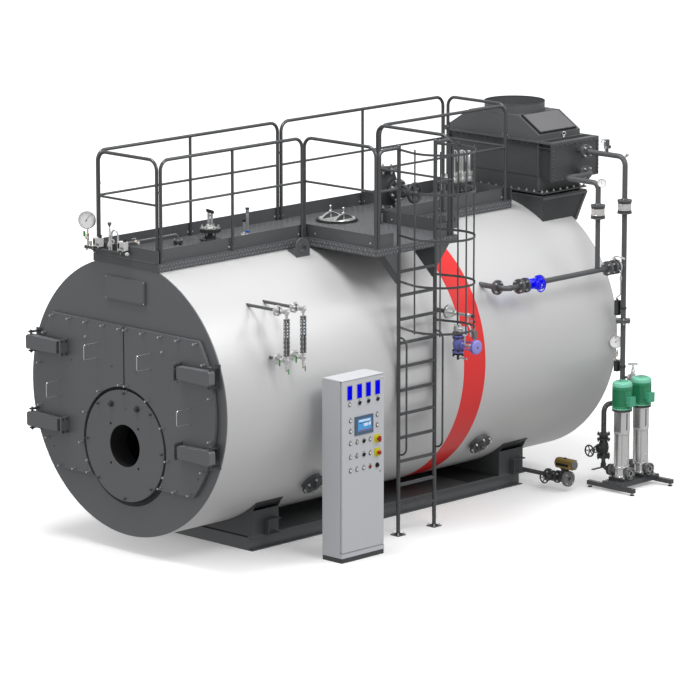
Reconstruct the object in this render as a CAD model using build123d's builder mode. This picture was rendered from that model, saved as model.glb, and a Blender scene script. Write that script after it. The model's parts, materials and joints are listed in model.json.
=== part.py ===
from build123d import *
import math
import os

# Industrial fire-tube steam boiler with doors, burner plate, economizer,
# feed pumps, control cabinet, roof deck, landing and caged ladder.
# Millimetres, +Z up, floor at z 0. X runs across, Y from the doors to the rear.

os.makedirs("parts", exist_ok=True)

# Shell and its ends
shell_r = 1500.0
shell_length = 6200.0
shell_clear = 192.0
jacket = 100.0
vessel_wall = 18.0
end_plate = 15.0
curve_gap = 0.4
smoke_box = 350.0
tube_plate_t = 25.0
axis_z = shell_r + shell_clear
top_z = axis_z + shell_r
front = -shell_length / 2
rear = shell_length / 2
vessel_front = smoke_box
vessel_back = shell_length - smoke_box

# Doors, hinges and burner plate, in proportion to the shell
door_r = 0.92 * shell_r
door_low = axis_z - 0.6047 * shell_r
door_high = axis_z + 0.522 * shell_r
door_t = 40.0
door_gap = 10.0
door_split = 20.0
door_inset = 70.0
burner_z = axis_z - 0.3427 * shell_r
burner_r = 0.4 * shell_r + 5.0
burner_cut_r = burner_r + 35.0
ring_r = burner_r + 95.0
throat_r = 0.38 * burner_r
furnace_r = burner_r - 5.0
furnace_wall = 16.0
furnace_back = vessel_back - 450.0
hinge_x = door_r + 5.0
hinge_out = 120.0
pin_r = 12.0
pin_clearance = 0.5
arm_h = 180.0
arm_depth = 90.0
arm_start = hinge_x - 405.0
arm_levels = (axis_z + 0.292 * shell_r, axis_z - 0.2747 * shell_r)
ear_t = 15.0
ear_clearance = 6.0
plate_w = 600.0
plate_high = top_z - 207.0
plate_low = plate_high - 247.0
plate_t = 25.0
handle_out = 200.0
handle_half = 82.0
handle_r = 5.5
handles = ((0.2733 * shell_r, axis_z + 0.312 * shell_r), (0.6733 * shell_r, axis_z - 0.0213 * shell_r))

# Skid and saddles
skid_half = 0.606 * shell_r
skid_h = 160.0
channel_flange = 65.0
channel_web = 9.0
skid_front = 0.1532 * shell_length
skid_back = 0.85 * shell_length
saddle_len = 400.0
saddle_t = 12.0
saddle_wing = 40.4
saddle_side = shell_clear + 0.1653 * shell_r
stub_out = 80.0
belly_half = skid_half - 34.0
belly_back = skid_back - 890.0

# Roof deck, landing and railings
deck_half = 503.0
deck_t = 6.0
deck_rise = 1.5
deck_fold = 86.0
eco_len = 750.0
eco_over = 250.0
eco_back = shell_length + eco_over
eco_front = eco_back - eco_len
deck_len = eco_front - 200.0
deck_z = top_z + deck_rise
walk_z = deck_z + deck_t
kick_h = 141.0
landing_out = shell_r + 42.0
landing_front = 0.35484 * shell_length
landing_len = 1270.0
landing_back = landing_front + landing_len
gusset = 340.0
rail_r = 21.0
rail_h = 1092.0
mid_rail_h = 613.0
rail_bend = 110.0
rail_x = deck_half - 21.0
rail_start = 50.0
rail_end = deck_len - 90.0

# Ladder and cage
ladder_x = shell_r + 30.0
ladder_w = 570.0
ladder_y = landing_front + 646.0
arch_front = 65.0
arch_back = 100.0
stringer_r = 22.0
ladder_over = 1080.0
rung_r = 12.5
rung_first = 290.0
rung_pitch = (walk_z - rung_first) / 11.14
rung_count = 11
cage_r = 370.0
cage_off = 350.0
cage_low = 894.5
cage_high = 1036.5
cage_hoops = 5
cage_last = 425.0
cage_bar_w = 25.0
cage_bar_t = 6.0

# Economizer
eco_half = 800.0
eco_h = 650.0
eco_rise = 8.0
eco_low = top_z + eco_rise
eco_top = eco_low + eco_h
eco_base_t = 30.0
eco_flange_t = 15.0
eco_sheet = 12.0
hopper_in = 160.0
hopper_h = 290.0
casing_half = eco_half - 95.0
casing_wall = 6.0
casing_lip = 50.0
cover_x = eco_half + 130.0
cover_t = 20.0
cover_low = eco_top - 420.0
hood_h = 253.0
hood_base = eco_top + 20.0
hood_rim = hood_base + 59.0
hood_top = hood_base + hood_h
hood_half = casing_half - 17.0
hood_top_half = hood_half - 313.0
hood_depth = eco_len - 45.0
flue_r = hood_depth / 2 - 6.5
flue_wall = 5.0
flue_h = 105.0
flue_top = hood_top + flue_h
flue_y = eco_back - hood_depth / 2

# Feed water piping, DN50
pipe_r = 30.0
flange_r = 82.5
flange_t = 18.0
pipe_bend = 76.0
feed_x = shell_r + 130.0
feed_z = axis_z + 818.0
riser_y = eco_back - 300.0
drop_y = riser_y - 457.0
feed_stub_y = 0.67242 * shell_length
feed_face = shell_r
feed_valve_y = feed_stub_y + 434.0
valve_half = 115.0
upper_pipe_z = eco_top - 107.0
lower_pipe_z = eco_top - 348.0
check_half = 60.0
check_z = lower_pipe_z - 322.0
wafer_half = 18.0
stem_clearance = 0.5

# Pump set
pump_x = shell_r + 370.0
pump_gap = 330.0
pump_first = riser_y - 280.0
pump_ys = (pump_first, pump_first + pump_gap)
pump_base_z = 110.0
port_z = 200.0
motor_r = 114.0
motor_low = 930.0
motor_high = motor_low + 325.0
manifold_x = feed_x - 30.0
manifold_z = motor_low
base_x0 = pump_x - 350.0
base_x1 = pump_x + 335.0
base_y0 = pump_first - 165.0
base_y1 = pump_first + 496.0
runner = 60.0
flange65_r = 65.0

# Blowdown line
blow_y = skid_back + 80.0
blow_z = shell_clear - 42.0
blow_r = 25.0

# Control cabinet
cab_face = shell_r + 465.0
cab_depth = 290.0
cab_front = 0.20016 * shell_length
cab_width = 642.0
cab_h = 1972.0
cab_plinth = 100.0
cab_sheet = 3.0
cab_leaf = 20.0
cab_gap = 10.0
cab_pin_r = 4.0


def st(distance):
    """Y of a station measured from the front plate."""
    return front + distance


def face_at(y):
    """Plane across the boiler at y; an extrusion from it runs forwards."""
    return Plane.XZ.offset(-y)


def rod(a, b, r, mode=Mode.ADD):
    """Round bar from a to b."""
    run = Vector(*b) - Vector(*a)
    with Locations(Plane(origin=a, z_dir=run)):
        Cylinder(r, run.length, align=(Align.CENTER, Align.CENTER, Align.MIN), mode=mode)


def block(x0, x1, y0, y1, z0, z1, mode=Mode.ADD):
    """Box between limits."""
    with Locations(((x0 + x1) / 2, (y0 + y1) / 2, (z0 + z1) / 2)):
        Box(abs(x1 - x0), abs(y1 - y0), abs(z1 - z0), mode=mode)


def bent_wire(points, bend):
    """Wire through points with rounded corners."""
    with BuildLine() as path:
        here = Vector(*points[0])
        for k in range(1, len(points) - 1):
            corner = Vector(*points[k])
            u = (corner - Vector(*points[k - 1])).normalized()
            v = (Vector(*points[k + 1]) - corner).normalized()
            half = math.radians(u.get_angle(v)) / 2
            a = corner - u * (bend * math.tan(half))
            b = corner + v * (bend * math.tan(half))
            centre = corner + (v - u).normalized() * (bend / math.cos(half))
            mid = centre + (corner - centre).normalized() * bend
            if (a - here).length > 0.01:
                Line(here, a)
            ThreePointArc(a, mid, b)
            here = b
        end = Vector(*points[-1])
        if (end - here).length > 0.01:
            Line(here, end)
    return path.wires()[0]


def bent_bar(points, r, bend, sides=0):
    """Bar along rounded corners, round or with the given number of flats."""
    wire = bent_wire(points, bend)
    with BuildSketch(Plane(origin=wire @ 0, z_dir=wire % 0)) as section:
        if sides:
            RegularPolygon(r, sides, major_radius=False, rotation=180 / sides)
        else:
            Circle(r)
    sweep(section.sketch, path=wire)


def flat_bar(a, b, r, sides=8):
    """Straight bar with flats from a to b."""
    run = Vector(*b) - Vector(*a)
    with BuildSketch(Plane(origin=a, z_dir=run)) as section:
        RegularPolygon(r, sides, major_radius=False, rotation=180 / sides)
    extrude(section.sketch, amount=run.length)


def hand_wheel(centre, axis, r, thick, stem_r, stem_back):
    """Rim, three spokes, hub and the stem that runs back into a bonnet."""
    lane = Plane(origin=centre, z_dir=axis)
    with Locations(lane):
        Cylinder(r, thick)
        Cylinder(r - 1.3 * thick, thick, mode=Mode.SUBTRACT)
        Cylinder(2.2 * stem_r, 1.4 * thick)
    for turn in (90, 210, 330):
        out = math.radians(turn)
        tip = lane.from_local_coords((0.95 * r * math.cos(out), 0.95 * r * math.sin(out), 0))
        with BuildSketch(Plane(origin=centre, z_dir=tip - Vector(*centre))) as spoke:
            RegularPolygon(0.36 * thick, 6, major_radius=False)
        extrude(spoke.sketch, amount=(r - thick))
    back = Vector(*centre) - Vector(*axis).normalized() * stem_back
    rod(tuple(back), centre, stem_r)


def wall_x(z):
    """X of the middle of the jacket wall at height z."""
    return math.sqrt((shell_r - jacket / 2) ** 2 - (z - axis_z) ** 2)


# Top nozzles: station, neck radius, flange radius, height above the shell top
probe_top = 64.0
steam_top = 44.0
relief_top = 78.0
probe_station = 0.1992 * shell_length
steam_station = 0.64274 * shell_length
relief_station = deck_len - 430.0
top_nozzles = (
    (probe_station, 45.0, 117.0, probe_top),
    (steam_station, 84.0, 142.5, steam_top),
    (relief_station, 38.0, 66.0, relief_top),
    (relief_station + 140.0, 34.0, 55.0, relief_top),
    (relief_station + 260.0, 34.0, 55.0, relief_top),
    (relief_station - 176.0, 22.0, 40.0, relief_top),
)
thin_stations = (0.28065 * shell_length, 0.28065 * shell_length + 70)
gauge_tap = (-200.0, 0.1529 * shell_length)
manhole_y = 0.51339 * shell_length
manhole_r = 230.0
manhole_top = 22.0
level_stations = (0.11903 * shell_length, 0.11903 * shell_length + 246)
level_high = axis_z + 0.7013 * shell_r
level_low = axis_z + 0.3573 * shell_r
level_face = shell_r + 14.0
sample_y = 0.54113 * shell_length
sample_z = axis_z + 0.444 * shell_r
sample_face = shell_r + 32.0
hand_hole_stations = (0.26306 * shell_length, 0.69081 * shell_length)
hand_hole_angle = -41.5
hand_hole_r = 120.0
hand_hole_face = shell_r + 40.0
lug_stations = (0.3371 * shell_length, 0.72581 * shell_length)
lug_x = 578.0
lug_t = 24.0
lug_hole_r = 26.0
lug_top = top_z + 38.0

# Shell and vessel
with BuildPart() as shell_jacket:
    rod((0, front + end_plate, axis_z), (0, rear - end_plate, axis_z), shell_r)
    rod((0, front + end_plate, axis_z), (0, rear - end_plate, axis_z),
        shell_r - jacket, mode=Mode.SUBTRACT)
    for station, neck, wide, high in top_nozzles:
        rod((0, st(station), top_z - jacket / 2), (0, st(station), top_z + high), neck)
        rod((0, st(station), top_z + high - flange_t), (0, st(station), top_z + high), wide)
    for station in thin_stations:
        rod((0, st(station), top_z - jacket / 2), (0, st(station), top_z + 30), 20)
    rod((gauge_tap[0], st(gauge_tap[1]), top_z - jacket),
        (gauge_tap[0], st(gauge_tap[1]), top_z + 37), 17)
    rod((gauge_tap[0], st(gauge_tap[1]), top_z + 21),
        (gauge_tap[0], st(gauge_tap[1]), top_z + 37), 52)
    rod((0, st(manhole_y), top_z - jacket / 2), (0, st(manhole_y), top_z + manhole_top), manhole_r)
    rod((0, st(manhole_y), top_z - 2 * jacket), (0, st(manhole_y), top_z + manhole_top),
        manhole_r - 20, mode=Mode.SUBTRACT)
    for station in level_stations:
        for z in (level_high, level_low):
            rod((wall_x(z), st(station), z), (level_face, st(station), z), 17)
            rod((level_face - 16, st(station), z), (level_face, st(station), z), 60)
    rod((wall_x(sample_z), st(sample_y), sample_z), (sample_face, st(sample_y), sample_z), 24)
    rod((sample_face - 16, st(sample_y), sample_z), (sample_face, st(sample_y), sample_z), 60)
    rod((wall_x(feed_z), st(feed_stub_y), feed_z), (feed_face, st(feed_stub_y), feed_z), pipe_r)
    rod((feed_face - flange_t, st(feed_stub_y), feed_z),
        (feed_face, st(feed_stub_y), feed_z), flange_r)
    tilt = math.radians(hand_hole_angle)
    for station in hand_hole_stations:
        rod(((shell_r - jacket / 2) * math.cos(tilt), st(station),
             axis_z + (shell_r - jacket / 2) * math.sin(tilt)),
            (hand_hole_face * math.cos(tilt), st(station),
             axis_z + hand_hole_face * math.sin(tilt)), hand_hole_r)
    rod((0, st(blow_y), axis_z - shell_r + jacket / 2), (0, st(blow_y), shell_clear - 14), blow_r)
    for side in (-1, 1):
        for station in lug_stations:
            block(side * (lug_x - lug_t / 2), side * (lug_x + lug_t / 2),
                  st(station) - 50, st(station) + 50,
                  axis_z + math.sqrt((shell_r - jacket / 2) ** 2 - lug_x ** 2), lug_top - 40)
            rod((side * (lug_x - lug_t / 2), st(station), lug_top - 50),
                (side * (lug_x + lug_t / 2), st(station), lug_top - 50), 50)
            rod((side * (lug_x - lug_t), st(station), lug_top - 50),
                (side * (lug_x + lug_t), st(station), lug_top - 50), lug_hole_r,
                mode=Mode.SUBTRACT)

vessel_r = shell_r - jacket - curve_gap
with BuildPart() as pressure_shell:
    rod((0, st(vessel_front), axis_z), (0, st(vessel_back), axis_z), vessel_r)
    rod((0, st(vessel_front), axis_z), (0, st(vessel_back), axis_z),
        vessel_r - vessel_wall, mode=Mode.SUBTRACT)

plate_r = vessel_r - vessel_wall - curve_gap
with BuildPart() as front_tube_plate:
    rod((0, st(vessel_front), axis_z), (0, st(vessel_front) + tube_plate_t, axis_z), plate_r)
    rod((0, st(vessel_front), burner_z), (0, st(vessel_front) + tube_plate_t, burner_z),
        furnace_r + curve_gap, mode=Mode.SUBTRACT)

with BuildPart() as rear_tube_plate:
    rod((0, st(vessel_back) - tube_plate_t, axis_z), (0, st(vessel_back), axis_z), plate_r)

with BuildPart() as furnace_tube:
    rod((0, front + end_plate, burner_z), (0, st(furnace_back), burner_z), furnace_r)
    rod((0, front + end_plate, burner_z), (0, st(furnace_back) - 20, burner_z),
        furnace_r - furnace_wall, mode=Mode.SUBTRACT)

with BuildPart() as rear_plate:
    rod((0, rear - end_plate, axis_z), (0, rear, axis_z), shell_r)

with BuildPart() as front_plate:
    with BuildSketch(face_at(front + end_plate)):
        with Locations((0, axis_z)):
            Circle(shell_r)
    extrude(amount=end_plate)
    with BuildSketch(face_at(front + end_plate)):
        with Locations((0, axis_z)):
            Circle(door_r - door_inset)
        with Locations((0, (door_low + door_high) / 2)):
            Rectangle(3 * shell_r, door_high - door_low - 2 * door_inset, mode=Mode.INTERSECT)
        with Locations((0, burner_z)):
            Circle(ring_r, mode=Mode.SUBTRACT)
    extrude(amount=end_plate, mode=Mode.SUBTRACT)
    rod((0, front, burner_z), (0, front + end_plate, burner_z), furnace_r - 40,
        mode=Mode.SUBTRACT)

with BuildPart() as burner_plate:
    rod((0, front - door_t - door_gap, burner_z), (0, front, burner_z), burner_r)
    rod((0, front - door_t - door_gap, burner_z), (0, front, burner_z), throat_r,
        mode=Mode.SUBTRACT)

with BuildPart() as name_plate:
    block(-plate_w / 2, plate_w / 2, front - plate_t, front, plate_low, plate_high)

# Doors: leaf, arms with knuckles and wire handles
leaf_back = front - door_gap
leaf_front = leaf_back - door_t
hinge_y = front - hinge_out
arm_face = hinge_y - arm_depth / 2 - 5

with BuildPart() as right_door:
    with BuildSketch(face_at(leaf_back)):
        with Locations((0, axis_z)):
            Circle(door_r)
        with Locations((door_split / 2 + door_r, (door_low + door_high) / 2)):
            Rectangle(2 * door_r, door_high - door_low, mode=Mode.INTERSECT)
        with Locations((0, burner_z)):
            Circle(burner_cut_r, mode=Mode.SUBTRACT)
    extrude(amount=door_t)
    for z in arm_levels:
        block(arm_start - 120, arm_start, arm_face, leaf_front, z - arm_h / 2 - 30, z + arm_h / 2 + 30)
        block(arm_start, hinge_x, arm_face, arm_face + arm_depth, z - arm_h / 2, z + arm_h / 2)
        rod((hinge_x, hinge_y, z - arm_h / 2), (hinge_x, hinge_y, z + arm_h / 2), 2.5 * pin_r)
        rod((hinge_x, hinge_y, z - arm_h), (hinge_x, hinge_y, z + arm_h),
            pin_r + pin_clearance, mode=Mode.SUBTRACT)
    for x, z in handles:
        bent_bar([(x, leaf_front + 5, z - handle_half), (x, leaf_front - handle_out, z - handle_half),
                  (x, leaf_front - handle_out, z + handle_half), (x, leaf_front + 5, z + handle_half)],
                 handle_r, 25, 6)

with BuildPart() as left_door:
    add(mirror(right_door.part, about=Plane.YZ, mode=Mode.PRIVATE))

with BuildPart() as hinge_brackets:
    for side in (-1, 1):
        for z in arm_levels:
            for way in (-1, 1):
                near = z + way * (arm_h / 2 + ear_clearance)
                far = near + way * ear_t
                block(side * (hinge_x - 33), side * (hinge_x + 33), hinge_y - 40, front,
                      min(near, far), max(near, far))
            reach = arm_h / 2 + ear_clearance + ear_t
            rod((side * hinge_x, hinge_y, z - reach), (side * hinge_x, hinge_y, z + reach), pin_r)

# Skid and saddles
with BuildPart() as skid:
    for side in (-1, 1):
        inner = side * (skid_half - channel_flange)
        outer = side * skid_half
        block(inner, inner + side * channel_web, st(skid_front), st(skid_back), 0, skid_h)
        block(inner, outer, st(skid_front), st(skid_back), 0, channel_web)
        block(inner, outer, st(skid_front), st(skid_back), skid_h - channel_web, skid_h)
    web_in = skid_half - channel_flange
    for station in (skid_front, skid_back - 60):
        block(-web_in, web_in, st(station), st(station) + 60, 0, skid_h - 20)
    block(-web_in, web_in, -60, 60, 0, skid_h - 40)


def saddle(start):
    """Base, two webs, side plates, wear plate and stub channels."""
    y0 = st(start)
    y1 = y0 + saddle_len
    wear = shell_r + curve_gap
    wing = math.radians(saddle_wing)
    for y in (y0 + saddle_t, y1):
        with BuildSketch(face_at(y)) as web:
            with BuildLine():
                Polyline((-skid_half, skid_h), (skid_half, skid_h), (skid_half, saddle_side),
                         (wear * math.sin(wing), axis_z - wear * math.cos(wing)),
                         (0, axis_z), (-wear * math.sin(wing), axis_z - wear * math.cos(wing)),
                         (-skid_half, saddle_side), close=True)
            make_face()
            with Locations((0, axis_z)):
                Circle(wear, mode=Mode.SUBTRACT)
        extrude(web.sketch, amount=saddle_t)
    with BuildSketch(face_at(y1)) as band:
        with BuildLine():
            Polyline((0, axis_z), (2 * wear * math.sin(wing), axis_z - 2 * wear * math.cos(wing)),
                     (-2 * wear * math.sin(wing), axis_z - 2 * wear * math.cos(wing)), close=True)
        make_face()
        with Locations((0, axis_z)):
            Circle(wear + saddle_t, mode=Mode.INTERSECT)
        with Locations((0, axis_z)):
            Circle(wear, mode=Mode.SUBTRACT)
    extrude(band.sketch, amount=saddle_len)
    block(-skid_half, skid_half, y0, y1, skid_h, skid_h + saddle_t)
    for side in (-1, 1):
        block(side * (skid_half - saddle_t), side * skid_half, y0, y1, skid_h, saddle_side)
        block(side * skid_half, side * (skid_half + stub_out), y0 + 170, y0 + 182, skid_h, skid_h + 170)
        for z in (skid_h, skid_h + 160):
            block(side * skid_half, side * (skid_half + stub_out), y0 + 170, y0 + 360, z, z + 10)


with BuildPart() as front_saddle:
    saddle(skid_front)

with BuildPart() as rear_saddle:
    saddle(skid_back - saddle_len)

with BuildPart() as belly_plate:
    block(-belly_half, belly_half, st(skid_front + saddle_len), st(belly_back), skid_h, skid_h + 6)

# Roof deck and landing
with BuildPart() as deck:
    block(-deck_half, deck_half, front, st(deck_len), deck_z, walk_z)
    for side in (-1, 1):
        block(side * (deck_half - deck_t), side * deck_half, front, st(deck_len), walk_z - deck_fold, walk_z)
    block(-deck_half, deck_half, front - deck_t, front, walk_z - deck_fold, walk_z)
    for station, neck, wide, high in top_nozzles:
        rod((0, st(station), deck_z - 1), (0, st(station), walk_z + 1), neck + 10, mode=Mode.SUBTRACT)
    for station in thin_stations:
        rod((0, st(station), deck_z - 1), (0, st(station), walk_z + 1), 26, mode=Mode.SUBTRACT)
    rod((gauge_tap[0], st(gauge_tap[1]), deck_z - 1), (gauge_tap[0], st(gauge_tap[1]), walk_z + 1),
        24, mode=Mode.SUBTRACT)
    rod((0, st(manhole_y), deck_z - 1), (0, st(manhole_y), walk_z + 1), manhole_r + 12,
        mode=Mode.SUBTRACT)

string_ys = (st(ladder_y) - ladder_w / 2, st(ladder_y) + ladder_w / 2)
flat_x = ladder_x - stringer_r
with BuildPart() as landing:
    y0 = st(landing_front)
    y1 = st(landing_back)
    low = walk_z - deck_fold
    block(deck_half, landing_out, y0, y1, deck_z, walk_z)
    block(deck_half, landing_out, y0, y0 + deck_t, low, walk_z)
    block(deck_half, landing_out, y1 - deck_t, y1, low, walk_z)
    block(deck_half, deck_half + deck_t, y0, y1, low, walk_z)
    block(landing_out - deck_t, landing_out, y0, y1, low, walk_z)
    for y in string_ys:
        block(flat_x, landing_out + 1, y - stringer_r, y + stringer_r, low - 1, walk_z + 1,
              mode=Mode.SUBTRACT)
        with BuildSketch(face_at(y + 4)):
            with BuildLine():
                Polyline((flat_x - gusset, deck_z), (flat_x, deck_z), (flat_x, low - gusset),
                         (flat_x - 20, low - gusset), (flat_x - gusset, low - 40), close=True)
            make_face()
        extrude(amount=8)
    for y, way in ((string_ys[0], -1), (string_ys[1], 1)):
        edge = y + way * stringer_r
        with BuildSketch(Plane.YZ.offset(ladder_x - 4)):
            with BuildLine():
                Polyline((edge, deck_z), (edge, low - 220), (edge + way * 12, low - 220),
                         (edge + way * 200, low), (edge + way * 200, deck_z), close=True)
            make_face()
        extrude(amount=8)

# Ladder with floor plates, rungs, grab rails and the two side arches
rail_top = walk_z + rail_h
grab_low = 900.0
grab_top = walk_z - 1000.0
with BuildPart() as ladder:
    for y, way in ((string_ys[0], -1), (string_ys[1], 1)):
        flat_bar((ladder_x, y, 12), (ladder_x, y, walk_z + ladder_over), stringer_r)
        block(ladder_x - 60, ladder_x + 60, y - 60, y + 60, 0, 12)
        bent_bar([(ladder_x, y, grab_top), (ladder_x + 85, y, grab_top - 80),
                  (ladder_x + 85, y, grab_low + 80), (ladder_x, y, grab_low)], 10, 50, 6)
        foot_y = st(landing_front) + arch_front if way < 0 else st(landing_back) - arch_back
        bent_bar([(ladder_x, foot_y, walk_z), (ladder_x, foot_y, rail_top - 40),
                  (ladder_x, y, rail_top - 40)], rail_r, 90, 8)
        flat_bar((ladder_x, foot_y, walk_z + mid_rail_h), (ladder_x, y, walk_z + mid_rail_h), 15, 6)
    for k in range(rung_count):
        z = rung_first + k * rung_pitch
        flat_bar((ladder_x, string_ys[0], z), (ladder_x, string_ys[1], z), rung_r, 6)

# Safety cage: hoops to both stringers and five uprights
cage_x = ladder_x + cage_off
start = Vector(ladder_x, string_ys[0])
to_centre = Vector(cage_x, st(ladder_y)) - start
reach = to_centre.length
swing = math.atan2(to_centre.Y, to_centre.X) - math.asin(cage_r / reach)
touch = math.sqrt(reach ** 2 - cage_r ** 2)
tangent = start + Vector(math.cos(swing), math.sin(swing)) * touch
cage_bottom = walk_z - cage_low
cage_step = (cage_low + cage_high - cage_last) / (cage_hoops - 2)
cage_levels = [cage_bottom + k * cage_step for k in range(cage_hoops - 1)]
cage_levels.append(walk_z + cage_high)
with BuildPart() as ladder_cage:
    for z in cage_levels:
        with BuildLine(Plane.XY.offset(z)) as hoop:
            Line((ladder_x, string_ys[0]), (tangent.X, tangent.Y))
            ThreePointArc((tangent.X, tangent.Y), (cage_x + cage_r, st(ladder_y)),
                          (tangent.X, 2 * st(ladder_y) - tangent.Y))
            Line((tangent.X, 2 * st(ladder_y) - tangent.Y), (ladder_x, string_ys[1]))
        loop = hoop.wires()[0]
        with BuildSketch(Plane(origin=loop @ 0, x_dir=(0, 0, 1), z_dir=loop % 0)):
            Rectangle(cage_bar_w, cage_bar_t)
        sweep(path=loop)
    for turn in (-90, -45, 0, 45, 90):
        out = math.radians(turn)
        with Locations(Location((cage_x + (cage_r - cage_bar_t) * math.cos(out),
                                 st(ladder_y) + (cage_r - cage_bar_t) * math.sin(out),
                                 (cage_levels[0] + cage_levels[-1]) / 2), (0, 0, turn))):
            Box(cage_bar_t, cage_bar_w, cage_levels[-1] - cage_levels[0] + cage_bar_w)
    block(ladder_x - 100, ladder_x + stringer_r, string_ys[0] - 60, string_ys[1] + 60,
          cage_levels[0] - 50, cage_levels[-1] + 50, mode=Mode.SUBTRACT)


def rail_frame(a, b, mids=()):
    """Railing of two posts, top rail with round corners, mid rail and extra posts."""
    (xa, ya), (xb, yb) = a, b
    bent_bar([(xa, ya, walk_z), (xa, ya, rail_top), (xb, yb, rail_top), (xb, yb, walk_z)],
             rail_r, rail_bend, 8)
    flat_bar((xa, ya, walk_z + mid_rail_h), (xb, yb, walk_z + mid_rail_h), 0.72 * rail_r, 6)
    for x, y in mids:
        flat_bar((x, y, walk_z), (x, y, rail_top), rail_r)


rail_mid = (rail_start + rail_end) / 2 + 37
with BuildPart() as left_railing:
    rail_frame((-rail_x, st(rail_start)), (-rail_x, st(rail_mid - 27)),
               [(-rail_x, st((rail_start + rail_mid) / 2))])
    rail_frame((-rail_x, st(rail_mid + 28)), (-rail_x, st(rail_end)),
               [(-rail_x, st((rail_mid + rail_end) / 2))])
    block(-deck_half, -deck_half + deck_t, st(30), st(deck_len - 70), walk_z, walk_z + kick_h)

with BuildPart() as right_front_railing:
    rail_frame((rail_x, st(rail_start)), (rail_x, st(landing_front - 50)),
               [(rail_x, st((rail_start + landing_front - 50) / 2))])
    block(deck_half - deck_t, deck_half, st(30), st(landing_front), walk_z, walk_z + kick_h)

with BuildPart() as right_rear_railing:
    rail_frame((rail_x, st(landing_back + 50)), (rail_x, st(rail_end)),
               [(rail_x, st((landing_back + 50 + rail_end) / 2))])
    block(deck_half - deck_t, deck_half, st(landing_back), st(deck_len - 70), walk_z, walk_z + kick_h)

with BuildPart() as front_railing:
    rail_frame((-rail_x + 55, st(22)), (rail_x - 55, st(22)))
    block(-deck_half, deck_half, front - deck_t, front, walk_z, walk_z + kick_h)
    block(-rail_x + 40, rail_x - 40, front - deck_t, st(24), walk_z, walk_z + kick_h / 3)

with BuildPart() as rear_railing:
    rail_frame((-rail_x + 55, st(deck_len - 35)), (rail_x - 55, st(deck_len - 35)))
    block(-deck_half, deck_half, st(deck_len) - deck_t, st(deck_len), walk_z, walk_z + kick_h)
    block(-rail_x + 40, rail_x - 40, st(deck_len - 36), st(deck_len) - deck_t, walk_z, walk_z + kick_h / 3)

with BuildPart() as landing_railings:
    rail_frame((deck_half + 55, st(landing_front) + 22), (ladder_x - 60, st(landing_front) + 22))
    block(deck_half, landing_out, st(landing_front), st(landing_front) + deck_t,
          walk_z, walk_z + kick_h)
    rail_frame((deck_half + 55, st(landing_back) - 60), (ladder_x - 60, st(landing_back) - 60))
    block(deck_half, landing_out, st(landing_back) - deck_t, st(landing_back),
          walk_z, walk_z + kick_h)

# Top fittings
with BuildPart() as level_probes:
    y = st(probe_station)
    base = top_z + probe_top
    rod((0, y, base), (0, y, base + 20), 117)
    rod((0, y, base + 20), (0, y, base + 170), 38)
    rod((0, y, base + 170), (0, y, base + 304), 52)
    for station, high in zip(thin_stations, (top_z + 263, top_z + 223)):
        rod((0, st(station), top_z + 30), (0, st(station), top_z + 90), 17)
        rod((0, st(station), top_z + 90), (0, st(station), high), 12)

with BuildPart() as manhole_lid:
    y = st(manhole_y)
    base = top_z + manhole_top
    rod((0, y, base), (0, y, base + 14), manhole_r - 8)
    rod((0, y, base + 14), (0, y, base + 26), manhole_r - 60)
    for x in (-85, 85):
        block(x - 12, x + 12, y - 190, y + 190, base + 14, base + 62)
        rod((x, y, base + 14), (x, y, base + 96), 14)

steam_y = st(steam_station)
steam_low = top_z + steam_top
steam_high = steam_low + 454
steam_mid = steam_low + 222
with BuildPart() as steam_valve:
    rod((0, steam_y, steam_low), (0, steam_y, steam_low + 22), 142.5)
    rod((0, steam_y, steam_high - 22), (0, steam_y, steam_high), 142.5)
    rod((0, steam_y, steam_low), (0, steam_y, steam_high), 84)
    with Locations((0, steam_y, steam_mid)):
        Sphere(118)
    rod((0, steam_y, steam_mid), (140, steam_y, steam_mid), 92)
    rod((140, steam_y, steam_mid), (185, steam_y, steam_mid), 130)
    rod((185, steam_y, steam_mid), (340, steam_y, steam_mid), 34)
    rod((250, steam_y, steam_mid), (360, steam_y, steam_mid), 12 + stem_clearance, mode=Mode.SUBTRACT)
    rod((0, steam_y, steam_high - 100), (0, steam_y, steam_high + 1), 75, mode=Mode.SUBTRACT)
    with Locations(Plane(origin=(0, steam_y, steam_high - 11), z_dir=(0, 0, 1))):
        with PolarLocations(120, 8, start_angle=22.5):
            Cylinder(11, 30, mode=Mode.SUBTRACT)

with BuildPart() as steam_valve_wheel:
    hand_wheel((420, steam_y, steam_mid), (1, 0, 0), 120, 20, 12, 150)

with BuildPart() as safety_valves:
    base = top_z + relief_top
    for (station, neck, wide, high), tall, body in zip(
            top_nozzles[2:], (top_z + 588, top_z + 570, top_z + 553, top_z + 324), (58, 46, 46, 24)):
        y = st(station)
        rod((0, y, base), (0, y, base + 16), wide)
        rod((0, y, base + 16), (0, y, base + 0.45 * (tall - base)), 0.62 * body)
        rod((0, y, base + 0.45 * (tall - base)), (0, y, tall), body)
    for station, body in ((relief_station, 58), (relief_station + 140, 46)):
        rod((0, st(station), base + 150), (-150, st(station), base + 150), 0.6 * body)

with BuildPart() as gauge_pipe:
    x, station = gauge_tap
    rod((x, st(station), top_z + 37), (x, st(station), top_z + 53), 52)
    bent_bar([(x, st(station), top_z + 53), (x, st(station), top_z + 118),
              (x, front + 60, top_z + 118), (x, front + 60, walk_z + 178)], 12, 40, 8)

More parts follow.
